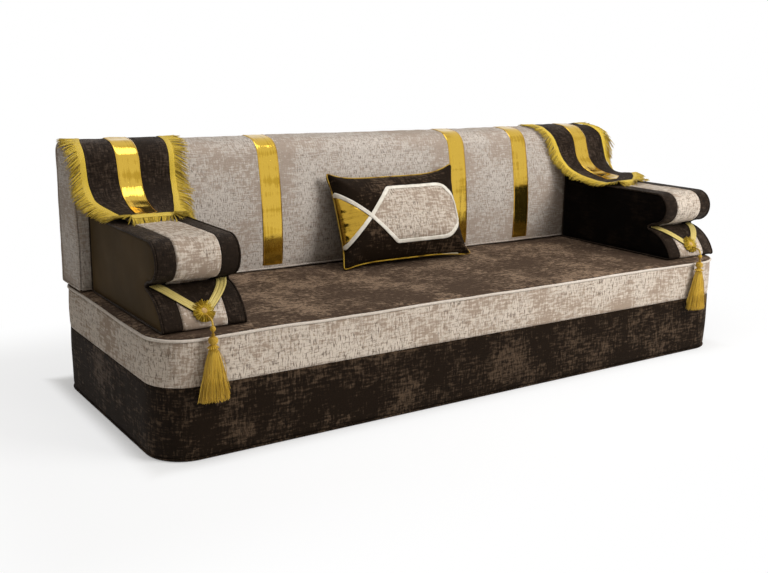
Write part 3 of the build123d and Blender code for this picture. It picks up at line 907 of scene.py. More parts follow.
def seatBorder(low, high, seed, tuck=0.0):
    loop = seatLoop(0)
    out = loopNormals(loop)
    columns = []
    for t in np.linspace(0, 1, 14):
        z = low + (high - low) * t
        spots = joined(*loop.T, z)
        swell = seat["bulge"] * np.sin(pi * t) ** 0.7
        swell = swell + seat["waves"] * ripple(spots, 0.30, seed) * np.sin(pi * t) ** 0.5
        swell = swell + 0.0006 * ripple(spots * [1, 1, 0.25], 0.055, seed + 1) * (1 - abs(2 * t - 1)) ** 0.3
        zipped = atZip(zips["seat"], *loop.T, z)
        swell = swell * (1 - zipped) - 0.0012 - tuck * max(0, 1 - t * 9) ** 2
        spots[:, :2] += out * swell[:, None]
        spots[:, 2] += edgeWave(spots) * smoothStep(t) * (high > seat["seam"])
        columns.append(spots)
    return gridPart(np.array(columns).transpose(1, 0, 2), closeU=True, flip=True)


def seatSkirtPieces():
    lower = seatBorder(seat["foot"], seat["seam"], 41, tuck=0.003)
    upper = seatBorder(seat["seam"] + 0.0002, seat["upperEdge"], 43)
    addPiece("seatLowerBorder", lower, brownVelvet, "sofa", seat["cloth"])
    addPiece("seatUpperBorder", upper, beigeVelvet, "sofa", seat["cloth"])
    for name, (inset, height, radius, finish) in seat["pipings"].items():
        path = joined(*seatLoop(inset, 900).T, height)
        path[:, 2] += edgeWave(path) * (name == "Top")
        addPiece("seat" + name + "Piping", pipePart(path, radius, 44), finish, "sofa")


def seatTopPiece():
    points, faces, gap = fillPart(seatLoop(0.0018, 300), 0.014)
    share = np.clip(gap / seat["roll"], 0, 1)
    spots = joined(*points.T, levels["crownBase"] + seat["crown"] * (1 - (1 - share) ** 3))
    fade = smoothStep(gap / 0.05)
    spots[:, 2] += edgeWave(spots) * (1 - fade)
    spots[:, 2] += fade * 0.0012 * ripple(spots, 0.42, 45) - 0.0012 * fade
    pucker = hill(gap, 0, 0.03) * smoothStep(gap / 0.006)
    spots[:, 2] += pucker * 0.0011 * ripple(spots * [1, 1, 0], 0.060, 46, 1)
    addPiece("seatTopPanel", flatPart(spots, faces, points), seatLitVelvet, "sofa", seat["cloth"])


seatSkirtPieces()
seatTopPiece()
print("seat made")


# back cushion
backrest = {
    "bulge": 0.018,
    "lean": 0.042,
    "frontHeight": 0.420,
    "shoulder": 0.070,
    "crest": 0.040,
    "edge": 0.008,
    "swell": 0.0022,
    "waves": 0.0016,
    "half": 1.1,
    # how far from the middle its cover and pipings end, and where its swell has gone
    "cover": 1.095,
    "endPiping": 1.098,
    "footPiping": 1.093,
    "pulled": 1.096,
    "piping": 0.0032,
    "cloth": 0.003,
    "stripeWidth": 0.074,
    "stripes": (-0.453, 0.332, 0.639),
    "stitches": (0.0042, 0.0030),  # pitch and length
    "foil": 0.0006,
}


def backProfile(count=260):
    foot = (levels["backFront"], levels["backBase"])
    shoulder = (levels["backFront"] + backrest["lean"], levels["backBase"] + backrest["frontHeight"])
    crest = (levels["backRear"], levels["backTop"])
    heel = (levels["backRear"], levels["backBase"])
    sides = [bulgedArc(foot, shoulder, backrest["bulge"], 60), line(shoulder, crest, 30)]
    sides += [line(crest, heel, 60), line(heel, foot, 30)]
    radii = [backrest["edge"], backrest["shoulder"], backrest["crest"], backrest["edge"]]
    return resample(softLoop(sides, radii), count, closed=True)


backLoop = backProfile()
backOut = loopNormals(backLoop)


def backSkin(x, share, extra=0.0):
    # points on the cushion's skin, from X and a place along the side profile, in shares of the loop
    base, way = spotOn(ringed(backLoop), ringed(backOut), x, np.asarray(share) * len(backLoop))
    near, y, z = np.abs(base[..., 0]), base[..., 1], base[..., 2]
    free = smoothStep((z - levels["backBase"] - 0.004) / 0.03)  # its foot stays flat
    ends = 1 - np.exp(-np.maximum(backrest["pulled"] - near, 0) / 0.035)
    swell = backrest["swell"] * ends + backrest["waves"] * ends * ripple(base, 0.55, 51)
    swell = swell + 0.0007 * hill(z, 0.768, 0.025) * ripple(base * [1, 0.3, 0.1], 0.075, 52, 1)
    swell = swell - 0.0012 * (1 - ends)
    foot = hill(z, 0.363, 0.02) * (y < 0.25)
    swell = swell + 0.0008 * foot * ripple(base * [1, 0, 0], 0.09, 53, 1)
    zipped = atZip(zips["backrest"], near, y, z)
    swell = swell * free * (1 - zipped) - 0.0006 * zipped
    return base + way * (swell + extra)[..., None], way


def backPieces():
    share = np.arange(len(backLoop)) / len(backLoop)
    grid, _ = backSkin(np.linspace(-backrest["cover"], backrest["cover"], 190)[:, None], share)
    addPiece("backrestCover", gridPart(grid, closeV=True), backVelvet, "sofa", backrest["cloth"])

    points, faces, gap = fillPart(resample(backLoop - backOut * 0.0030, 150, closed=True), 0.013)
    panels, pipings = [], []
    for way in (-1, 1):
        puff = 0.0035 * (1 - np.exp(-gap / 0.028)) - 0.0022
        x = way * (backrest["half"] + puff + 0.0008 * ripple(points, 0.16, 54) * smoothStep(gap / 0.02))
        panels.append(flatPart(joined(x, *points.T), faces, points, flip=way < 0))
        loop = resample(backLoop - backOut * 0.0018, 420, closed=True)
        path = joined(way * backrest["endPiping"], *loop.T)
        path[:, 0] += way * 0.0006 * ripple(path, 0.16, 55)
        pipings.append(pipePart(path, backrest["piping"], 56))
    addPiece("backrestEndPanels", panels, backVelvet, "sofa", backrest["cloth"])
    addPiece("backrestEndPiping", pipings, backVelvet, "sofa")

    xs = np.linspace(-backrest["footPiping"], backrest["footPiping"], 700)
    path = joined(xs, levels["backFront"] - 0.0028, levels["backBase"] + 0.0030)
    path[:, 1] += 0.0007 * ripple(path, 0.19, 57)
    path[:, 2] += 0.0005 * ripple(path, 0.15, 58)
    addPiece("backrestFootPiping", tubePart(path, 0.0031, sides=12, caps=True), backVelvet, "sofa")


def sewnRows(grid, way, pitch, length):  # stitches along both long edges of a stripe
    return [part for k in (1, -2) for part in stitchParts(grid[:, k], way[:, k], pitch, length)]


def backStripes():
    # the foil runs from above the foot piping, up the front and over the top
    picked = np.nonzero((backLoop[:, 0] < 0.345) & (backLoop[:, 1] > levels["backBase"] + 0.010))[0]
    share = np.linspace(picked[0], picked[-1], 240)[:, None] / len(backLoop)
    half = backrest["stripeWidth"] / 2
    across = np.linspace(-half, half, 21)
    sewn = 1 - np.abs(across / half) ** 6
    foils, threads = [], []
    for k, place in enumerate(backrest["stripes"]):
        grid, way = backSkin(place + across, share, 0.0010)
        run = runLength(grid[:, 10])
        flat = joined(across, run[:, None])
        puff = 0.00025 * ripple(flat * [1.0, 0.16], 0.040, 60 + k)
        puff = puff + 0.0004 * ripple(flat * [0.1, 1], 0.09, 63 + k)
        grid = grid + way * (sewn * (0.0006 + puff))[..., None]
        foils.append(gridPart(grid, flip=True, u=run, v=across + 0.3 * k))
        threads += sewnRows(grid, way, *backrest["stitches"])
    addPiece("backrestGoldStripes", foils, goldFoil, "sofa", backrest["foil"])
    addPiece("backrestStripeStitches", threads, orangeThread, "sofa")


backPieces()
backStripes()
print("back cushion made")


# arms
arm = {
    "width": 0.240,
    "nose": {"left": 0.036, "right": 0.034},
    "left": {"left": -1.067, "right": 0.860},
    "notch": (0.130, 0.102),
    "rollBulge": 0.026,
    "underNose": 0.120,
    "riseRun": 0.110,
    "rise": 0.031,
    "radii": (0.008, 0.005, 0.024, 0, 0, 0.008, 0.008),  # at the corners of its side view
    "stripe": 0.126,
    "seam": 0.0052,  # the cover ends this far from the arm's sides
    "swell": 0.0036,
    "waves": 0.0010,
    "cloth": 0.003,
    "piping": 0.0031,
    "flapMargin": 0.012,
    "flapTip": 0.022,
    "flap": 0.0012,
    "braid": 0.018,
    "rosette": 0.0409,  # how high it sits
    # each ruffle's inner and outer radius, its pleats, their depth and how far it stands out
    "ruffles": ((0.007, 0.0305, 26, 0.0042, 0.0012), (0.005, 0.0215, 18, 0.0036, 0.0050)),
}


def armProfile(side, count=300):
    base, top, front, rear = (levels[k] for k in ("armBase", "armTop", "armFront", "armRear"))
    radius = (top - base - arm["underNose"]) / 2
    noseY = front + arm["nose"][side] + radius
    toe, notch = (front, base), (front + arm["notch"][0], base + arm["notch"][1])
    chin = (noseY, base + arm["underNose"])
    nose = (noseY, top - radius) + radius * round2(np.radians(np.linspace(-90, -270, 50)))
    dip, peak, heel = (rear - arm["riseRun"], top), (rear, top + arm["rise"]), (rear, base)
    big = (arm["riseRun"] ** 2 + arm["rise"] ** 2) / (2 * arm["rise"])
    sweep = np.linspace(0, asin(arm["riseRun"] / big), 24)
    rise = np.array(dip) + big * joined(np.sin(sweep), 1 - np.cos(sweep))
    sides = [bulgedArc(toe, notch, arm["rollBulge"]), line(notch, chin), nose]
    sides += [line(nose[-1], dip, 30), rise, line(peak, heel, 30), line(heel, toe, 50)]
    return resample(softLoop(sides, arm["radii"]), count, closed=True)


class ArmSkin:  # the padded skin of one arm, which its flap, braid and rosette follow
    def __init__(self, side):
        self.side = side
        self.left = arm["left"][side]
        self.right = self.left + arm["width"]
        self.middle = self.left + arm["width"] / 2
        self.loop = armProfile(side)
        self.out = loopNormals(self.loop)
        y, z = self.loop[:, 0] - levels["armFront"], self.loop[:, 1] - levels["armBase"]
        roll = (y < arm["notch"][0] + 0.002) & (z < arm["notch"][1] - 0.001) & (z > 0.006)
        self.roll = np.nonzero(roll)[0]
        self.seed = 70 if side == "left" else 80

    def at(self, x, k, extra):
        base, way = spotOn(ringed(self.loop), ringed(self.out), x, k)
        share = np.abs(np.clip(2 * (base[..., 0] - self.middle) / (arm["width"] - 0.010), -1, 1))
        under = smoothStep((base[..., 2] - levels["armBase"] - 0.001) / 0.02)
        behind = smoothStep((levels["armRear"] - 0.001 - base[..., 1]) / 0.02)
        swell = (1 - share**3.2) * arm["swell"]
        swell = swell + arm["waves"] * ripple(base, 0.17, self.seed) * (1 - share**6)
        return base + way * (swell * under * behind + extra)[..., None], way

    def rollIndex(self, z):
        return np.interp(z, self.loop[self.roll, 1], self.roll)

    def band(self, low, high, count):
        seam = np.zeros((count, 1))
        seam[0] = seam[-1] = -0.0011
        grid, _ = self.at(np.linspace(low, high, count)[:, None], np.arange(len(self.loop)), seam)
        return gridPart(grid, closeV=True)

    def shrunk(self, inset, count):
        return resample(self.loop - self.out * inset, count, closed=True)


def armPieces(side):
    skin = ArmSkin(side)
    body, middle, half = side + "_arm", skin.middle, arm["stripe"] / 2
    bands = [skin.band(skin.left + arm["seam"], middle - half, 14)]
    bands += [skin.band(middle + half, skin.right - arm["seam"], 14)]
    stripe = skin.band(middle - half + 0.0001, middle + half - 0.0001, 18)
    addPiece(side + "ArmCover", bands, armVelvet, body, arm["cloth"])
    addPiece(side + "ArmStripe", stripe, beigeVelvet, body, arm["cloth"])

    points, faces, gap = fillPart(skin.shrunk(0.0030, 190), 0.009)
    puff = 0.0042 * (1 - np.exp(-gap / 0.022)) - 0.0022
    puff = puff + 0.0008 * ripple(points, 0.13, skin.seed + 3) * smoothStep(gap / 0.02)
    panels, pipings = {}, []
    for way, x in ((-1, skin.left), (1, skin.right)):
        panels[way] = flatPart(joined(x + way * puff, *points.T), faces, points, flip=way < 0)
        path = joined(x - way * 0.0021, *skin.shrunk(0.0014, 380).T)
        pipings.append(pipePart(path, arm["piping"], skin.seed + 4))
    outerWay = -1 if side == "left" else 1
    both = (side + "_arm_side_panels",)
    addPiece(side + "ArmOuterPanel", panels[outerWay], sideSuede, body, arm["cloth"], both)
    # the inner side: near-black velvet, darkened further with painted shade
    addPiece(side + "ArmInnerPanel", panels[-outerWay], innerShadeVelvet, body, arm["cloth"])
    addPiece(side + "ArmPiping", pipings, armVelvet, body)
    flapPieces(skin, body)
    rosettePieces(skin, body)
    return skin


def flapPieces(skin, body):
    side, middle = skin.side, skin.middle
    top = levels["armBase"] + arm["notch"][1] - 0.002
    tip = levels["armBase"] + arm["flapTip"]
    wide = arm["width"] / 2 - arm["flapMargin"]
    zs = np.linspace(tip + 0.001, top, 30)[:, None]
    x = middle + np.linspace(-1, 1, 33) * wide * ((zs - tip) / (top - tip))
    crease = 0.0009 * ripple(joined(x, zs), 0.05, skin.seed + 5)
    grid, _ = skin.at(x, skin.rollIndex(zs), 0.0024 + crease)
    flap = addPiece(side + "ArmFlap", gridPart(grid, flip=True), armVelvet, body, arm["flap"])

    strips = []
    share = np.linspace(0, 1, 90)[:, None]
    cross = np.linspace(0, arm["braid"], 25)
    for way in (-1, 1):  # the braid is a V, with its foot at the flap's tip
        a, b = np.array([way * (wide + 0.002), top]), np.array([way * 0.002, tip + 0.004])
        along = unit(b - a)
        inward = np.array([along[1], -along[0]]) * way
        spots = (a + (b - a) * share)[:, None] + inward * cross[:, None]
        z = np.clip(spots[..., 1], tip - 0.006, top + 0.0005)
        ribs = 0.0013 * np.abs(np.sin(cross / arm["braid"] * 3 * pi))
        chevron = 0.00028 * np.sin(share * 0.14 / 0.0027 * 2 * pi + np.sin(cross / 0.0045 * 2 * pi) * 1.6)
        made, _ = skin.at(middle + spots[..., 0], skin.rollIndex(z), 0.0044 + ribs + chevron)
        strips.append(gridPart(made, flip=way > 0))
    braid = addPiece(side + "FlapBraid", strips, goldBraid, body, 0.0014)


def rosettePieces(skin, body):
    index = skin.rollIndex(levels["armBase"] + arm["rosette"])
    _, normal = skin.at(skin.middle, index, 0)
    low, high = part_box(skin.side + "_rosette")
    centre = (np.array(low) + np.array(high)) / 2 - normal * 0.0030
    right = np.array([1.0, 0.0, 0.0])
    up = np.cross(normal, right)
    up = up * (1 if up[2] > 0 else -1)

    def wheel(radius, turns, height):  # a ring round the middle, and how far it stands out
        return centre + radius[..., None] * round2(turns, right, up) + height[..., None] * normal

    turns, share = fullTurn(420), np.linspace(0, 1, 13)[:, None]
    parts = []
    for inner, outer, pleats, deep, rise in arm["ruffles"]:
        jitter = 0.10 * ripple(round2(turns), 0.5, skin.seed + pleats, 2)
        waves = 1 + 0.05 * share * np.sin(turns * pleats + 1.2) + jitter * share * 0.5
        pleat = np.sin((turns + jitter * 0.4) * pleats)
        height = rise + deep * share**0.8 * pleat + 0.0022 * np.sin(share * pi) + 0.002
        spin = turns + 0.05 * share * np.sin(turns * pleats * 0.5)
        grid = wheel((inner + (outer - inner) * share) * waves, spin, height)
        parts.append(gridPart(grid, closeV=True, u=np.linspace(0, outer, 13), v=np.arange(421) * 0.0006))
    addPiece(skin.side + "Rosette", parts, fringeYarn, body, 0.0009)
    turns, t = fullTurn(40), np.linspace(0, 1, 14)[:, None]
    radius, fold = 0.0092 * np.cos(t * pi / 2) ** 0.8 + 0.00002, 1 + 0.02 * np.sin(turns * 9) * (1 - t)
    grid = wheel(radius * fold, turns, 0.0052 * (1 + np.sin(t * pi / 2)))
    addPiece(skin.side + "RosetteButton", gridPart(grid, closeV=True, flip=True), tanSatin, body, 0.001)


arms = {side: armPieces(side) for side in ("left", "right")}
print("arms made")


# throws
throw = {
    "rearDrop": 0.25,
    "lift": 0.0042,
    "cloth": 0.0016,
    "foil": 0.0006,
    "fringe": 0.050,
    "heading": 0.017,
    "pitch": 0.0066,
    "clump": 4,
    "yarn": 0.00085,
    "hang": 0.75,
    "layers": ((0.02, 0.90), (0.15, 1.0)),  # how much each layer lifts, and its share of the length
    "tipLength": 0.028,
    "stitches": (0.0045, 0.0032),  # pitch and length
    "sinkFrom": 1.092,  # past here it hangs over the cushion's end
    # each line has places along the cloth from its front hem, and X there
    "left": {
        "seed": 100,
        "hem": -0.018,
        "lip": 0.014,  # the front hem stands this far off the arm
        "lifted": 0.0,  # and the outer edge this far, where it comes down on the arm
        "down": 0.8,  # how much of the arm's swell the cloth follows
        "slack": 0.60,  # how far the yarns sink past the arm's sides
        "outer": (
            (0, -1.011), (0.058, -1.015), (0.108, -1.015), (0.145, -1.026), (0.171, -1.040), (0.198, -1.054),
            (0.263, -1.059), (0.334, -1.060), (0.40, -1.058), (0.45, -1.044), (0.52, -1.022), (1, -1.022),
        ),
        "inner": (
            (0, -0.890), (0.018, -0.884), (0.078, -0.850), (0.147, -0.822), (0.200, -0.805),
            (0.245, -0.797), (0.318, -0.794), (0.418, -0.786), (1, -0.790),
        ),
        "stripe": ((0, -0.927), (1, -0.927)),
        "stripeWidth": 0.071,
        "stripeFrom": 0.082,
    },
    "right": {
        "seed": 110,
        "hem": -0.058,
        "lip": 0.008,
        "lifted": 0.022,
        "down": 0.3,
        "slack": 0.25,
        "outer": (
            (0, 0.985), (0.029, 1.010), (0.069, 1.062), (0.109, 1.094), (0.159, 1.104),
            (0.309, 1.102), (0.389, 1.090), (0.44, 1.065), (0.50, 1.035), (1, 1.025),
        ),
        "inner": (
            (0, 0.893), (0.029, 0.885), (0.054, 0.880), (0.129, 0.901), (0.176, 0.8955), (0.221, 0.882),
            (0.265, 0.8655), (0.306, 0.851), (0.350, 0.834), (0.382, 0.822), (0.417, 0.805), (1, 0.790),
        ),
        "stripe": (
            (0, 0.970), (0.079, 0.975), (0.129, 0.990), (0.179, 0.998), (0.229, 0.985),
            (0.289, 0.974), (0.359, 0.968), (0.439, 0.955), (1, 0.950),
        ),
        "stripeWidth": 0.070,
        "stripeFrom": 0.079,
    },
}


def throwLine(look):
    # the side view of the cloth, from the front hem over the arm and the back cushion
    over = backLoop + backOut * (throw["lift"] + backrest["swell"] + 0.001)
    start = np.nonzero((over[:, 1] > 0.688) & (over[:, 0] < 0.3))[0][0]
    stop = np.nonzero((over[:, 1] > levels["backTop"] - throw["rearDrop"]) & (over[:, 0] > 0.3))[0][-1]
    over = over[start : stop + 1]
    top = levels["armTop"] + throw["lift"] + arm["swell"]
    y, z = over[0]
    corner = np.array([y - 0.166, top])  # here it leaves the arm and rises to the cushion
    leave, arrive = np.array([y - 0.052, top]), np.array([y - 0.006, z - 0.052])
    curve = bend(corner, leave, arrive, over[0], np.linspace(0, 1, 30))
    front = line((levels["front"] + levels["rear"] + look["hem"], top), corner, 20)
    whole = softened(resample(np.vstack([front[:-1], curve[:-1], over]), 400), 6)
    whole[:, 1] += look["lip"] * np.clip(1 - runLength(whole) / 0.045, 0, 1) ** 2
    return resample(whole, 260)


class ThrowCloth:  # the cloth's skin, over places along its side view and shares of its width
    def __init__(self, side):
        self.look, self.skin = throw[side], arms[side]
        self.path = throwLine(self.look)
        self.s = runLength(self.path)
        self.index = np.arange(len(self.s))
        along = unit(np.gradient(self.path, axis=0))
        self.way = np.stack([-along[:, 1], along[:, 0]], axis=1)  # away from the cushions
        lines = [np.interp(self.s, *zip(*self.look[key])) for key in ("outer", "inner", "stripe")]
        self.outer, self.inner, self.stripe = (softened(row, 8) for row in lines)

    def at(self, k, share, extra=0.0):  # share runs from the outer to the inner edge
        k, share = np.broadcast_arrays(k, share)
        x = np.interp(k, self.index, self.outer) * (1 - share) + np.interp(k, self.index, self.inner) * share
        spot, up = spotOn(self.path, self.way, x, k)
        place, seed = np.interp(k, self.index, self.s), self.look["seed"]
        free = hill(place, 0.20, 0.055)  # where nothing is under it
        wave = 0.0010 * ripple(spot, 0.11, seed + 1)
        wave = wave + 0.0030 * free * ripple(spot * [1, 0.3, 0.3], 0.13, seed + 2, 1)
        slope = np.clip(np.abs(2 * (x - self.skin.middle) / arm["width"]), 0, 1.2)
        down = smoothStep((0.15 - place) / 0.06) * arm["swell"] * slope**3.2
        raised = self.look["lifted"] * np.clip(1 - share, 0, 1) ** 1.5 * hill(place, 0.12, 0.075)
        spot = spot + up * (wave - down * self.look["down"] + raised + extra)[..., None]
        spot[..., 2] -= np.maximum(0, np.abs(x) - throw["sinkFrom"]) * 0.7
        return spot, up


def edgeLine(cloth):
    # down one long side, round the hem, back along the other, and along the rear end
    last = len(cloth.s) - 1.0
    runs = [(last, 0, 0, 0, 900), (0, 0, 0, 1, 160), (0, last, 1, 1, 900), (last, last, 1, 0, 300)]
    k = np.concatenate([np.linspace(a, b, count) for a, b, _, _, count in runs])
    share = np.concatenate([np.linspace(a, b, count) for _, _, a, b, count in runs])
    edge, up = cloth.at(k, share, 0.0006)
    inset, _ = cloth.at(np.clip(k, 2.5, last - 2.5), np.clip(share, 0.03, 0.97), 0.0006)
    out = unit(edge - inset)
    out[(k == 0) & (share > 0) & (share < 1), 2] = -0.34  # the hem's yarns point down
    for _ in range(10):
        out = unit(softened(out, closed=True))
    # the places run on where the edge turns, so that the yarns fan out round each corner
    turned = np.linalg.norm(np.diff(out, axis=0), axis=1).cumsum()
    run = runLength(edge) + np.append(0, turned) * throw["fringe"] * 0.7
    return run, edge, out, up


def headingPart(run, edge, out, up):  # the woven heading that the yarns come from
    spots = np.arange(0, run[-1], 0.0008)
    base, out, up = (between(spots, run, rows)[:, None] for rows in (edge, out, up))
    cross = np.linspace(-0.003, throw["heading"], 9)
    ribs = 0.0002 * np.sin(spots[:, None] / 0.0021 * 2 * pi + cross / 0.009 * 2)
    height = 0.0008 + 0.0010 * np.sin((cross + 0.003) / (throw["heading"] + 0.003) * pi) + ribs
    band = base + unit(out) * cross[:, None] + unit(up) * height[..., None]
    band[..., 2] -= np.maximum(0, np.abs(band[..., 0]) - backrest["half"]) * 0.4
    strip = gridPart(band, closeU=True, u=np.append(spots, run[-1]), v=np.linspace(0, 0.009, 9))
    strip["uv"] = strip["uv"][:, ::-1] + [tassel["paleStrand"], 0]
    return strip


def fringeYarns(cloth, ends, draw, layer):
    # clumps of yarns whose tips lean together, from under the heading
    run, edge, out, up = ends
    lift, portion = throw["layers"][layer]
    each, pitch, length = throw["clump"], throw["pitch"], throw["fringe"] * portion
    middle = np.arange(pitch * 0.5, run[-1], pitch)
    count = len(middle)
    middle = middle + draw.uniform(-0.25, 0.25, count) * pitch
    kind = draw.uniform(0, 40, count)
    turn = 0.07 * draw.normal(size=count)
    turn = turn + 0.08 * ripple(middle[:, None] * [1, 0], 0.06, cloth.look["seed"] + 5 + layer)
    reach = length * (1 + 0.06 * draw.normal(size=count))
    rise = lift + 0.035 * draw.normal(size=count)
    middle, kind, turn, reach, rise = (np.repeat(c, each) for c in (middle, kind, turn, reach, rise))
    at = np.clip(middle + np.tile(np.linspace(-0.34, 0.34, each), count) * pitch, 0, run[-1])
    count = len(at)
    root = between(at, run, edge)
    o, u = (unit(between(middle, run, rows)) for rows in (out, up))
    plumb = np.array([0, 0, -1.0])
    down = plumb - u * (u @ plumb)[:, None]
    lean = turn + (middle - at) / reach * 0.55 + 0.02 * draw.normal(size=count)
    side = np.cross(u, o)
    sign = np.sign((side * np.gradient(root, axis=0)).sum(axis=1))
    ways = o + down * throw["hang"] + unit(side) * (lean * sign)[:, None]
    level = smoothStep(u[:, 2] * 2 - 0.9)  # 1 where the cloth lies flat
    ways = unit(unit(ways) + u * (rise + 0.02 * draw.normal(size=count))[:, None])
    ways[:, 2] = np.where(level > 0.3, np.minimum(ways[:, 2], 0.06), ways[:, 2])
    size = reach * (1 + 0.04 * draw.normal(size=count))
    root = root + o * (throw["heading"] * 0.72)
    x = (root + ways * size[:, None])[:, 0]
    low = smoothStep((levels["armTop"] + 0.055 - root[:, 2]) / 0.045)
    past = np.maximum(0, np.maximum(cloth.skin.left - x, x - cloth.skin.right))
    sag = past * low * cloth.look["slack"] + level * lift * 0.55 * size
    sag = sag + np.maximum(0, np.abs(x) - backrest["half"]) * 0.5 * (1 - low)
    own = kind + draw.uniform(0, 0.10, count)
    if layer == 0:  # the layer underneath is dark: painted shade, seen through the gaps between the upper yarns
        own = own * 0 + tassel["paintedShadeStrand"]
    return strandsPart(root + u * 0.0006, ways, size, sag, throw["yarn"], draw, own, 0.0012)


def throwPieces(side):
    cloth, look, body = ThrowCloth(side), throw[side], side + "_throw"
    draw = np.random.default_rng(look["seed"])
    share = np.linspace(0, 1, 40)
    grid, _ = cloth.at(cloth.index[:, None], share)
    part = gridPart(grid, flip=side == "left", u=cloth.s, v=share * 0.26)
    piece = addPiece(side + "ThrowCloth", part, armVelvet, body, throw["cloth"])
    width = np.linalg.norm(np.diff(grid, axis=1), axis=2).sum(axis=1)
    run = runLength(grid[:, 20])
    area = float(((width[1:] + width[:-1]) / 2 * np.diff(run)).sum())
    size = (float(width.max()), float(run[-1]))
    area = min(area, size[0] * size[1])
    print(side, "throw", [round(c, 3) for c in size], round(area, 4))

    ends = edgeLine(cloth)
    parts = [headingPart(*ends)]
    for layer in range(len(throw["layers"])):
        parts += fringeYarns(cloth, ends, draw, layer)
    fringe = addPiece(side + "ThrowFringe", parts, fringeYarn, body)

    begin, point = look["stripeFrom"], throw["tipLength"]
    rows = np.linspace(begin + point, cloth.s[-1] - 0.006, 250)
    rows = np.append(np.linspace(begin, begin + point, 18)[:-1], rows)
    k = np.interp(rows, cloth.s, cloth.index)[:, None]
    narrow = np.clip((rows - begin) / point, 0.02, 1)[:, None]
    cross = np.linspace(-1, 1, 21)
    x = np.interp(rows, cloth.s, cloth.stripe)[:, None] + cross * (narrow * look["stripeWidth"] / 2)
    outer, inner = (np.interp(k, cloth.index, row) for row in (cloth.outer, cloth.inner))
    flat = joined(x, rows[:, None])
    puff = 0.0008 * ripple(flat * [0.15, 1], 0.060, look["seed"] + 7)
    puff = puff + 0.0002 * ripple(flat * [1, 0.3], 0.035, look["seed"] + 8)
    sewn = 1 - np.abs(cross) ** 6
    stripe, up = cloth.at(k, (x - outer) / (inner - outer), 0.0012 + sewn * (0.0008 + puff))
    part = gridPart(stripe, flip=True, u=rows, v=cross * 0.04)
    foilPiece = addPiece(side + "ThrowStripe", part, goldFoil, body, throw["foil"])
    threads = sewnRows(stripe, up, *throw["stitches"])
    stitches = addPiece(side + "ThrowStitches", threads, orangeThread, body)


for side in ("left", "right"):
    throwPieces(side)
print("throws made")


# pillow
pillow = {
    "width": 0.505,
    "height": 0.330,
    "half": 0.062,
    "pullIn": 0.018,
    "lean": 22,
    "grid": (86, 58),
    "pressure": 4.0,
    "cap": 0.014,
    "ease": 0.06,  # how much larger the cloth is than the seam that it is sewn into
    "share": 0.45,  # how much of the simulated swell is kept
    "longer": 0.033,  # its right half is a little longer than its left
    # how far each corner's ear stands out, sideways and up
    "ears": {
        (-1, 1): (0.0, 0.012),
        (1, 1): (0.008, 0.024),
        (1, -1): (0.014, 0.002),
        (-1, -1): (0.002, 0.004),
    },
    "piping": (0.0012, 0.0015, 205),  # how far its two yarns are apart, their radius, and their turns
    "ribbon": 0.014,
    "crossed": 0.58,  # how far up the left side the two ribbons end that cross
    # shares of the half width and height
    "panel": (
        (-0.575, 0), (-0.19, 0.6), (0.64, 0.6), (0.915, 0.26),
        (0.915, -0.26), (0.64, -0.6), (-0.19, -0.6),
    ),
    "radii": (0.004, 0.020, 0.055, 0.055, 0.055, 0.055, 0.020),
    "goldCorner": ((-0.995, 0.55), (-0.605, 0), (-0.995, -0.55), (-0.990, 0)),
}


def pillowMatrix():
    low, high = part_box("pillow_piping")
    turn = Matrix.Rotation(radians(90 - pillow["lean"]), 4, "X")
    return np.array(Matrix.Translation((low + high) / 2) @ turn)


def pillowShape(u, v, rise):
    # u and v run from -1 to 1 over the flat cover, and the sides pull in between the ears
    w, h, pull = pillow["width"] / 2 - 0.002, pillow["height"] / 2 - 0.002, pillow["pullIn"]
    sideW, sideH = w - pull * (1 - v**4), h - pull * (1 - u**4)
    x, y = u * (w - pull * (1 - v**4) * u**2), v * (h - pull * (1 - u**4) * v**2)
    span = (h - pull) * 0.82  # full height is reached this far in from every side
    inX, inY = np.clip((sideW - np.abs(x)) / span, 0, 1), np.clip((sideH - np.abs(y)) / span, 0, 1)
    soft = 0.012
    near = -soft * np.log(np.exp(-inX / soft) + np.exp(-inY / soft)) + soft * 0.69 * np.exp(-(inX + inY) * 9)
    x = x + pillow["longer"] * np.clip(u, 0, 1) ** 2
    for (alongX, alongY), (moreX, moreY) in pillow["ears"].items():
        corner = np.clip(u * alongX, 0, 1) * np.clip(v * alongY, 0, 1)
        blunt = 0.009 * corner**26
        x = x + alongX * (moreX * corner**7 - blunt)
        y = y + alongY * (moreY * corner**7 - blunt)
    return joined(x, y, rise * (1 - (1 - near.clip(0, 1)) ** 2) ** 0.58)


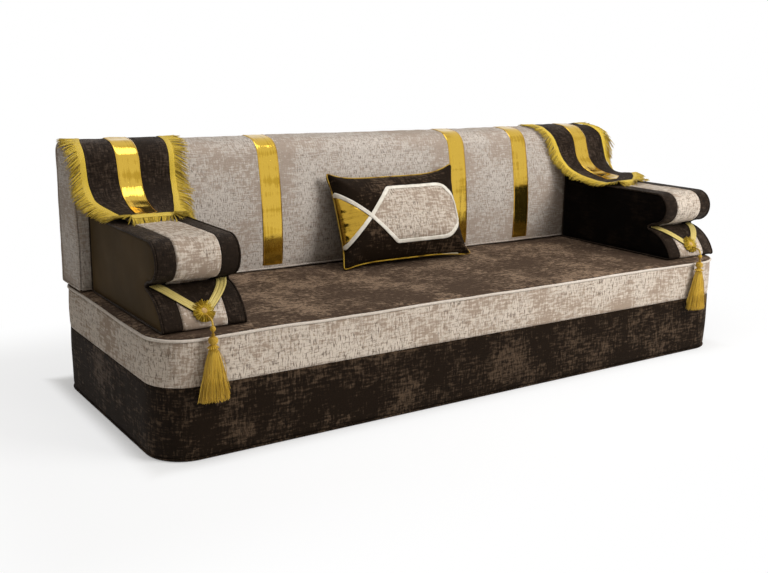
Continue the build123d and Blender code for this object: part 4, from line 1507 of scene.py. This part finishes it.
def simulatePillow(front, back):
    # cloth with air in it: the cover swells and puckers along its seam
    rows, columns = front.shape[:2]
    index = np.stack([np.arange(rows * columns).reshape(rows, columns)] * 2)
    inner = index[1, 1:-1, 1:-1]  # both sides share the points of the seam
    inner[:] = rows * columns + np.arange(inner.size).reshape(inner.shape)
    quads = [index[:, :-1, :-1], index[:, 1:, :-1], index[:, 1:, 1:], index[:, :-1, 1:]]
    quads = np.stack(quads, axis=-1).reshape(2, -1, 4)
    before = np.vstack([front.reshape(-1, 3), back[1:-1, 1:-1].reshape(-1, 3)])
    mesh = bpy.data.meshes.new("pillowCloth")
    mesh.from_pydata(before.tolist(), [], np.vstack([quads[0], quads[1, :, ::-1]]).tolist())
    obj = bpy.data.objects.new("pillowCloth", mesh)
    scene.collection.objects.link(obj)
    seam = obj.vertex_groups.new(name="seam")
    seam.add(np.intersect1d(*index).tolist(), 1.0, "REPLACE")
    cloth = obj.modifiers.new("cloth", "CLOTH")
    settings = cloth.settings
    settings.vertex_group_mass = "seam"
    settings.shrink_min = -pillow["ease"]
    settings.quality = 6
    settings.mass = 0.25
    settings.tension_stiffness = 18
    settings.compression_stiffness = 12
    settings.shear_stiffness = 6
    settings.bending_stiffness = 0.25
    settings.use_pressure = True
    settings.uniform_pressure_force = pillow["pressure"]
    settings.effector_weights.gravity = 0
    cloth.collision_settings.use_collision = False
    for step in range(1, 21):
        scene.frame_set(step)
    settled = bpy.data.meshes.new_from_object(obj.evaluated_get(bpy.context.evaluated_depsgraph_get()))
    move = np.array([tuple(v.co) for v in settled.vertices]) - before
    far = np.linalg.norm(move, axis=1, keepdims=True)
    after = before + move * np.minimum(1, pillow["cap"] / np.maximum(far, 1e-9))
    bpy.data.objects.remove(obj)
    scene.frame_set(1)
    return after[index]


def pillowPieces():
    width, height = pillow["width"], pillow["height"]
    aspect, last = np.array([width / 2, height / 2]), np.array(pillow["grid"]) - 1
    u, v = np.meshgrid(*(np.linspace(-1, 1, count) for count in pillow["grid"]), indexing="ij")
    plain, mirror = pillowShape(u, v, pillow["half"] * 1.02), np.array([1, 1, -1])
    front, back = plain, plain * mirror
    front, back = simulatePillow(front, back)
    # the filling stays inside: the cover keeps its outline, and swells outward only
    swells = [np.maximum(depth - plain[..., 2], -0.0010) for depth in (front[..., 2], -back[..., 2])]
    front, back = (plain + joined(0, 0, swell * pillow["share"]) for swell in swells)
    back = back * mirror
    back[..., 2] = np.maximum(back[..., 2], -pillow["half"] - 0.003)
    normals = unit(np.cross(np.gradient(front, axis=0), np.gradient(front, axis=1)))
    matrix = pillowMatrix()

    def placed(points):
        return points @ matrix[:3, :3].T + matrix[:3, 3]

    def onFront(flat, lift, low=-9.0, high=9.0):  # points of the front cover, raised by lift
        spots = (np.clip(flat / aspect, low, high) + 1) / 2 * last
        cell = np.clip(spots.astype(int), 0, last - 1)
        (a, b), (p, q) = np.moveaxis(cell, -1, 0), np.moveaxis(spots - cell, -1, 0)[..., None]

        def blend(grid):
            near = grid[a, b] * (1 - p) + grid[a + 1, b] * p
            return near * (1 - q) + (grid[a, b + 1] * (1 - p) + grid[a + 1, b + 1] * p) * q

        return placed(blend(front) + unit(blend(normals)) * np.asarray(lift)[..., None])

    u, v = (np.arange(count) / count * size for count, size in zip(pillow["grid"], (width, height)))
    parts = [gridPart(placed(front), u=u, v=v), gridPart(placed(back), flip=True, u=u, v=v)]
    sides = ("pillow_front_cover", "pillow_back_cover")
    cover = addPiece("pillowCover", parts, brownVelvet, "pillow", replaced=sides)
    cover.modifiers.new("weld", "WELD").merge_threshold = 0.00005
    smooth = cover.modifiers.new("subdivision", "SUBSURF")
    smooth.levels = smooth.render_levels = 1

    rim = np.vstack([front[:, 0], front[-1, 1:], front[-2::-1, -1], front[0, -2:0:-1]])
    rim = softened(resample(rim, 1000, closed=True), 6, closed=True)
    rim = rim + unit(rim * [1, 1, 0]) * 0.0016
    first = np.cross(unit(steps(rim)), (0.0, 0.0, 1.0))
    second = np.cross(unit(steps(rim)), first)
    apart, radius, turns = pillow["piping"]
    rings = [round2(fullTurn(1000) * turns + ply * pi, first, second) * apart for ply in range(2)]
    parts = [tubePart(placed(rim + ring), radius, sides=7, closed=True) for ring in rings]
    addPiece("pillowPiping", parts, goldCord, "pillow")

    # panel, ribbon and foil lie on the front cover
    corners = pillow["panel"] * aspect
    sides = [line(a, b, 30) for a, b in zip(corners, np.roll(corners, -1, axis=0))]
    flatRing = resample(softLoop(sides, pillow["radii"]), 300, closed=True)
    points, faces, _ = fillPart(resample(flatRing * 0.985, 160, closed=True), 0.0075)
    panel = flatPart(onFront(points, 0.0010), faces, points)
    addPiece("pillowPanel", panel, beigeVelvet, "pillow", 0.0008)

    half = pillow["ribbon"] / 2

    def ribbonAlong(middle, lift, closed=False):
        way = unit(steps(middle) if closed else np.gradient(middle, axis=0))
        inward = np.stack([-way[:, 1], way[:, 0]], axis=1)
        cross = np.linspace(-half, half, 7)
        flat = middle[:, None] + inward[:, None] * cross[:, None]
        soft = 0.0002 * ripple(flat, 0.02, 131) + 0.0005 * (1 - np.abs(cross / half) ** 4)
        return gridPart(onFront(flat, lift + soft, (-0.998, -0.985), 0.985), closeU=closed)

    bands = [ribbonAlong(flatRing, 0.0022, True)]
    for way in (-1, 1):
        ends = aspect * (-1, way * pillow["crossed"])
        inner = corners[0] + (corners[1] * (1, -way) - corners[0]) * 0.10
        straight = resample(np.vstack([ends, corners[0], inner]), 60)
        bands.append(ribbonAlong(straight, 0.0032 + 0.0006 * way))
    addPiece("pillowRibbon", bands, creamRibbon, "pillow", 0.0007)

    corner = resample(pillow["goldCorner"] * aspect, 90, closed=True)
    points, faces, gap = fillPart(corner, 0.004)
    puff = 0.0016 * (1.3 + ripple(points, 0.045, 133)) * smoothStep(gap / 0.012)
    patch = flatPart(onFront(points, 0.0022 + puff), faces, points)
    addPiece("pillowGoldCorner", patch, crinkledFoil, "pillow", 0.0006)


pillowPieces()
print("pillow made")


# zips at the rear, with their teeth
def zipPieces(side, face, height):
    end = zips["length"] / 2
    across = np.linspace(-0.5, 0.5, 13) * zips["tape"]
    y = face + 0.0007 + 0.0002 * np.cos(across / zips["tape"] * 2 * pi)
    grid = joined(np.linspace(-end, end, 300)[:, None], y, height + across)
    grid[..., 1] += 0.0002 * ripple(grid, 0.06, 141)
    teeth = []
    for k, x in enumerate(np.arange(0.02 - end, end - 0.02, zips["tooth"])):
        way = 1 if k % 2 else -1
        ends = (x, face + 0.0018, height + way * 0.0028), (x, face + 0.0019, height - way * 0.0006)
        teeth.append(tubePart(np.array(ends), 0.0007, sides=6, caps=True))
    addPiece(side + "ZipTape", gridPart(grid, flip=True), zipCloth, "sofa", 0.0006)
    addPiece(side + "ZipTeeth", teeth, brassFinish, "sofa")


zipPieces("seat", levels["rear"], zips["seat"])
zipPieces("backrest", levels["backRear"], zips["backrest"])
print("zips made")


# CAD nodes that keep their own shape
keptFinishes = {
    "foam": foamFinish,
    "filling": foamFinish,
    "strips": hookLoop,
    "bottom_panel": darkLining,
    "slider": brassFinish,
    "pull": brassFinish,
}
for name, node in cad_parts.items():
    for ending, finish in keptFinishes.items():
        if name.endswith(ending):
            node.data.materials.clear()
            node.data.materials.append(finish)
            for face in node.data.polygons:
                face.material_index = 0


# floor, lamps and world
light = {
    "world": ((1.0, 0.92, 0.82), 0.16),
    "key": ((2.3, -3.3, 2.7), (0.0, 0, 0.3), (2.2, 1.8), 205),
    "top": ((-0.5, -0.4, 4.0), (-0.2, 0, 0.4), (3.2, 2.0), 66),
    "fill": ((-3.4, -2.6, 1.5), (0, 0, 0.35), (2.2, 1.6), 6, (1.0, 0.93, 0.82)),
    "floor": (0.90, 0.90, 0.90),
    "floorGrain": (0.84, 0.84, 0.84),
    "floorHalf": 30,
    "shadowZone": (0.0, 0.07, 0.35, 0.75),  # how far from the sofa the floor's shade gets lighter, under painted white light
    "open": (0.25, 0.75),
}


def seenRays(finish):  # white for the camera, and for what metal reflects
    path = finish.node("ShaderNodeLightPath", {}, {}, "Is Camera Ray")
    outputs = path.socket.node.outputs
    glossy, through = (Wire(finish, outputs[k]) for k in ("Is Glossy Ray", "Is Transmission Ray"))
    return (path + glossy + through).math("MINIMUM", 1.0)


def addFloor():
    finish = Finish("pale_floor")
    place = finish.place()
    tone = finish.mix(finish.noise(place, 3.0, 2.0) * 0.05, light["floor"], light["floorGrain"])
    plain = {"Base Color": tone, "Roughness": 0.85, "Specular IOR Level": 0.1}
    near = finish.node("ShaderNodeBsdfPrincipled", {}, plain)
    far = finish.node("ShaderNodeEmission", {}, {"Color": (1, 1, 1), "Strength": 1.0})
    flat = finish.node("ShaderNodeVectorMath", {"operation": "ABSOLUTE"}, {0: place})
    along, across = finish.sides(flat)
    reach = (along - seat["length"] / 2).math("MAXIMUM", across - seat["depth"] / 2)
    low, high, start, end = light["shadowZone"]
    # the floor glows white for camera rays, less of it next to the sofa: painted light over its shadow
    share = finish.step(reach, low, high, start, end) + finish.step(reach, *light["open"]) * (1 - end)
    mixed = finish.node("ShaderNodeMixShader", {}, {0: share * seenRays(finish), 1: near, 2: far})
    finish.node("ShaderNodeOutputMaterial", {}, {"Surface": mixed})
    half = light["floorHalf"]
    mesh = bpy.data.meshes.new("floor")
    corners = [(-half, -half, 0), (half, -half, 0), (half, half, 0), (-half, half, 0)]
    mesh.from_pydata(corners, [], [(0, 1, 2, 3)])
    mesh.materials.append(finish.material)
    floor = bpy.data.objects.new("floor", mesh)
    scene.collection.objects.link(floor)


def addWorld():
    world = bpy.data.worlds.new("studio")
    sky = Finish("studio", world)
    plain = sky.node("ShaderNodeBackground", {}, dict(zip(("Color", "Strength"), light["world"])))
    white = sky.node("ShaderNodeBackground", {}, {"Color": (1, 1, 1), "Strength": 1.0})
    mixed = sky.node("ShaderNodeMixShader", {}, {0: seenRays(sky), 1: plain, 2: white})
    sky.node("ShaderNodeOutputWorld", {}, {"Surface": mixed})
    scene.world = world


addFloor()
addWorld()
for name in ("key", "top", "fill"):
    addLamp(name, *light[name])
scene.view_settings.view_transform = "Standard"
print("floor, lamps and world made")

bpy.context.view_layer.update()
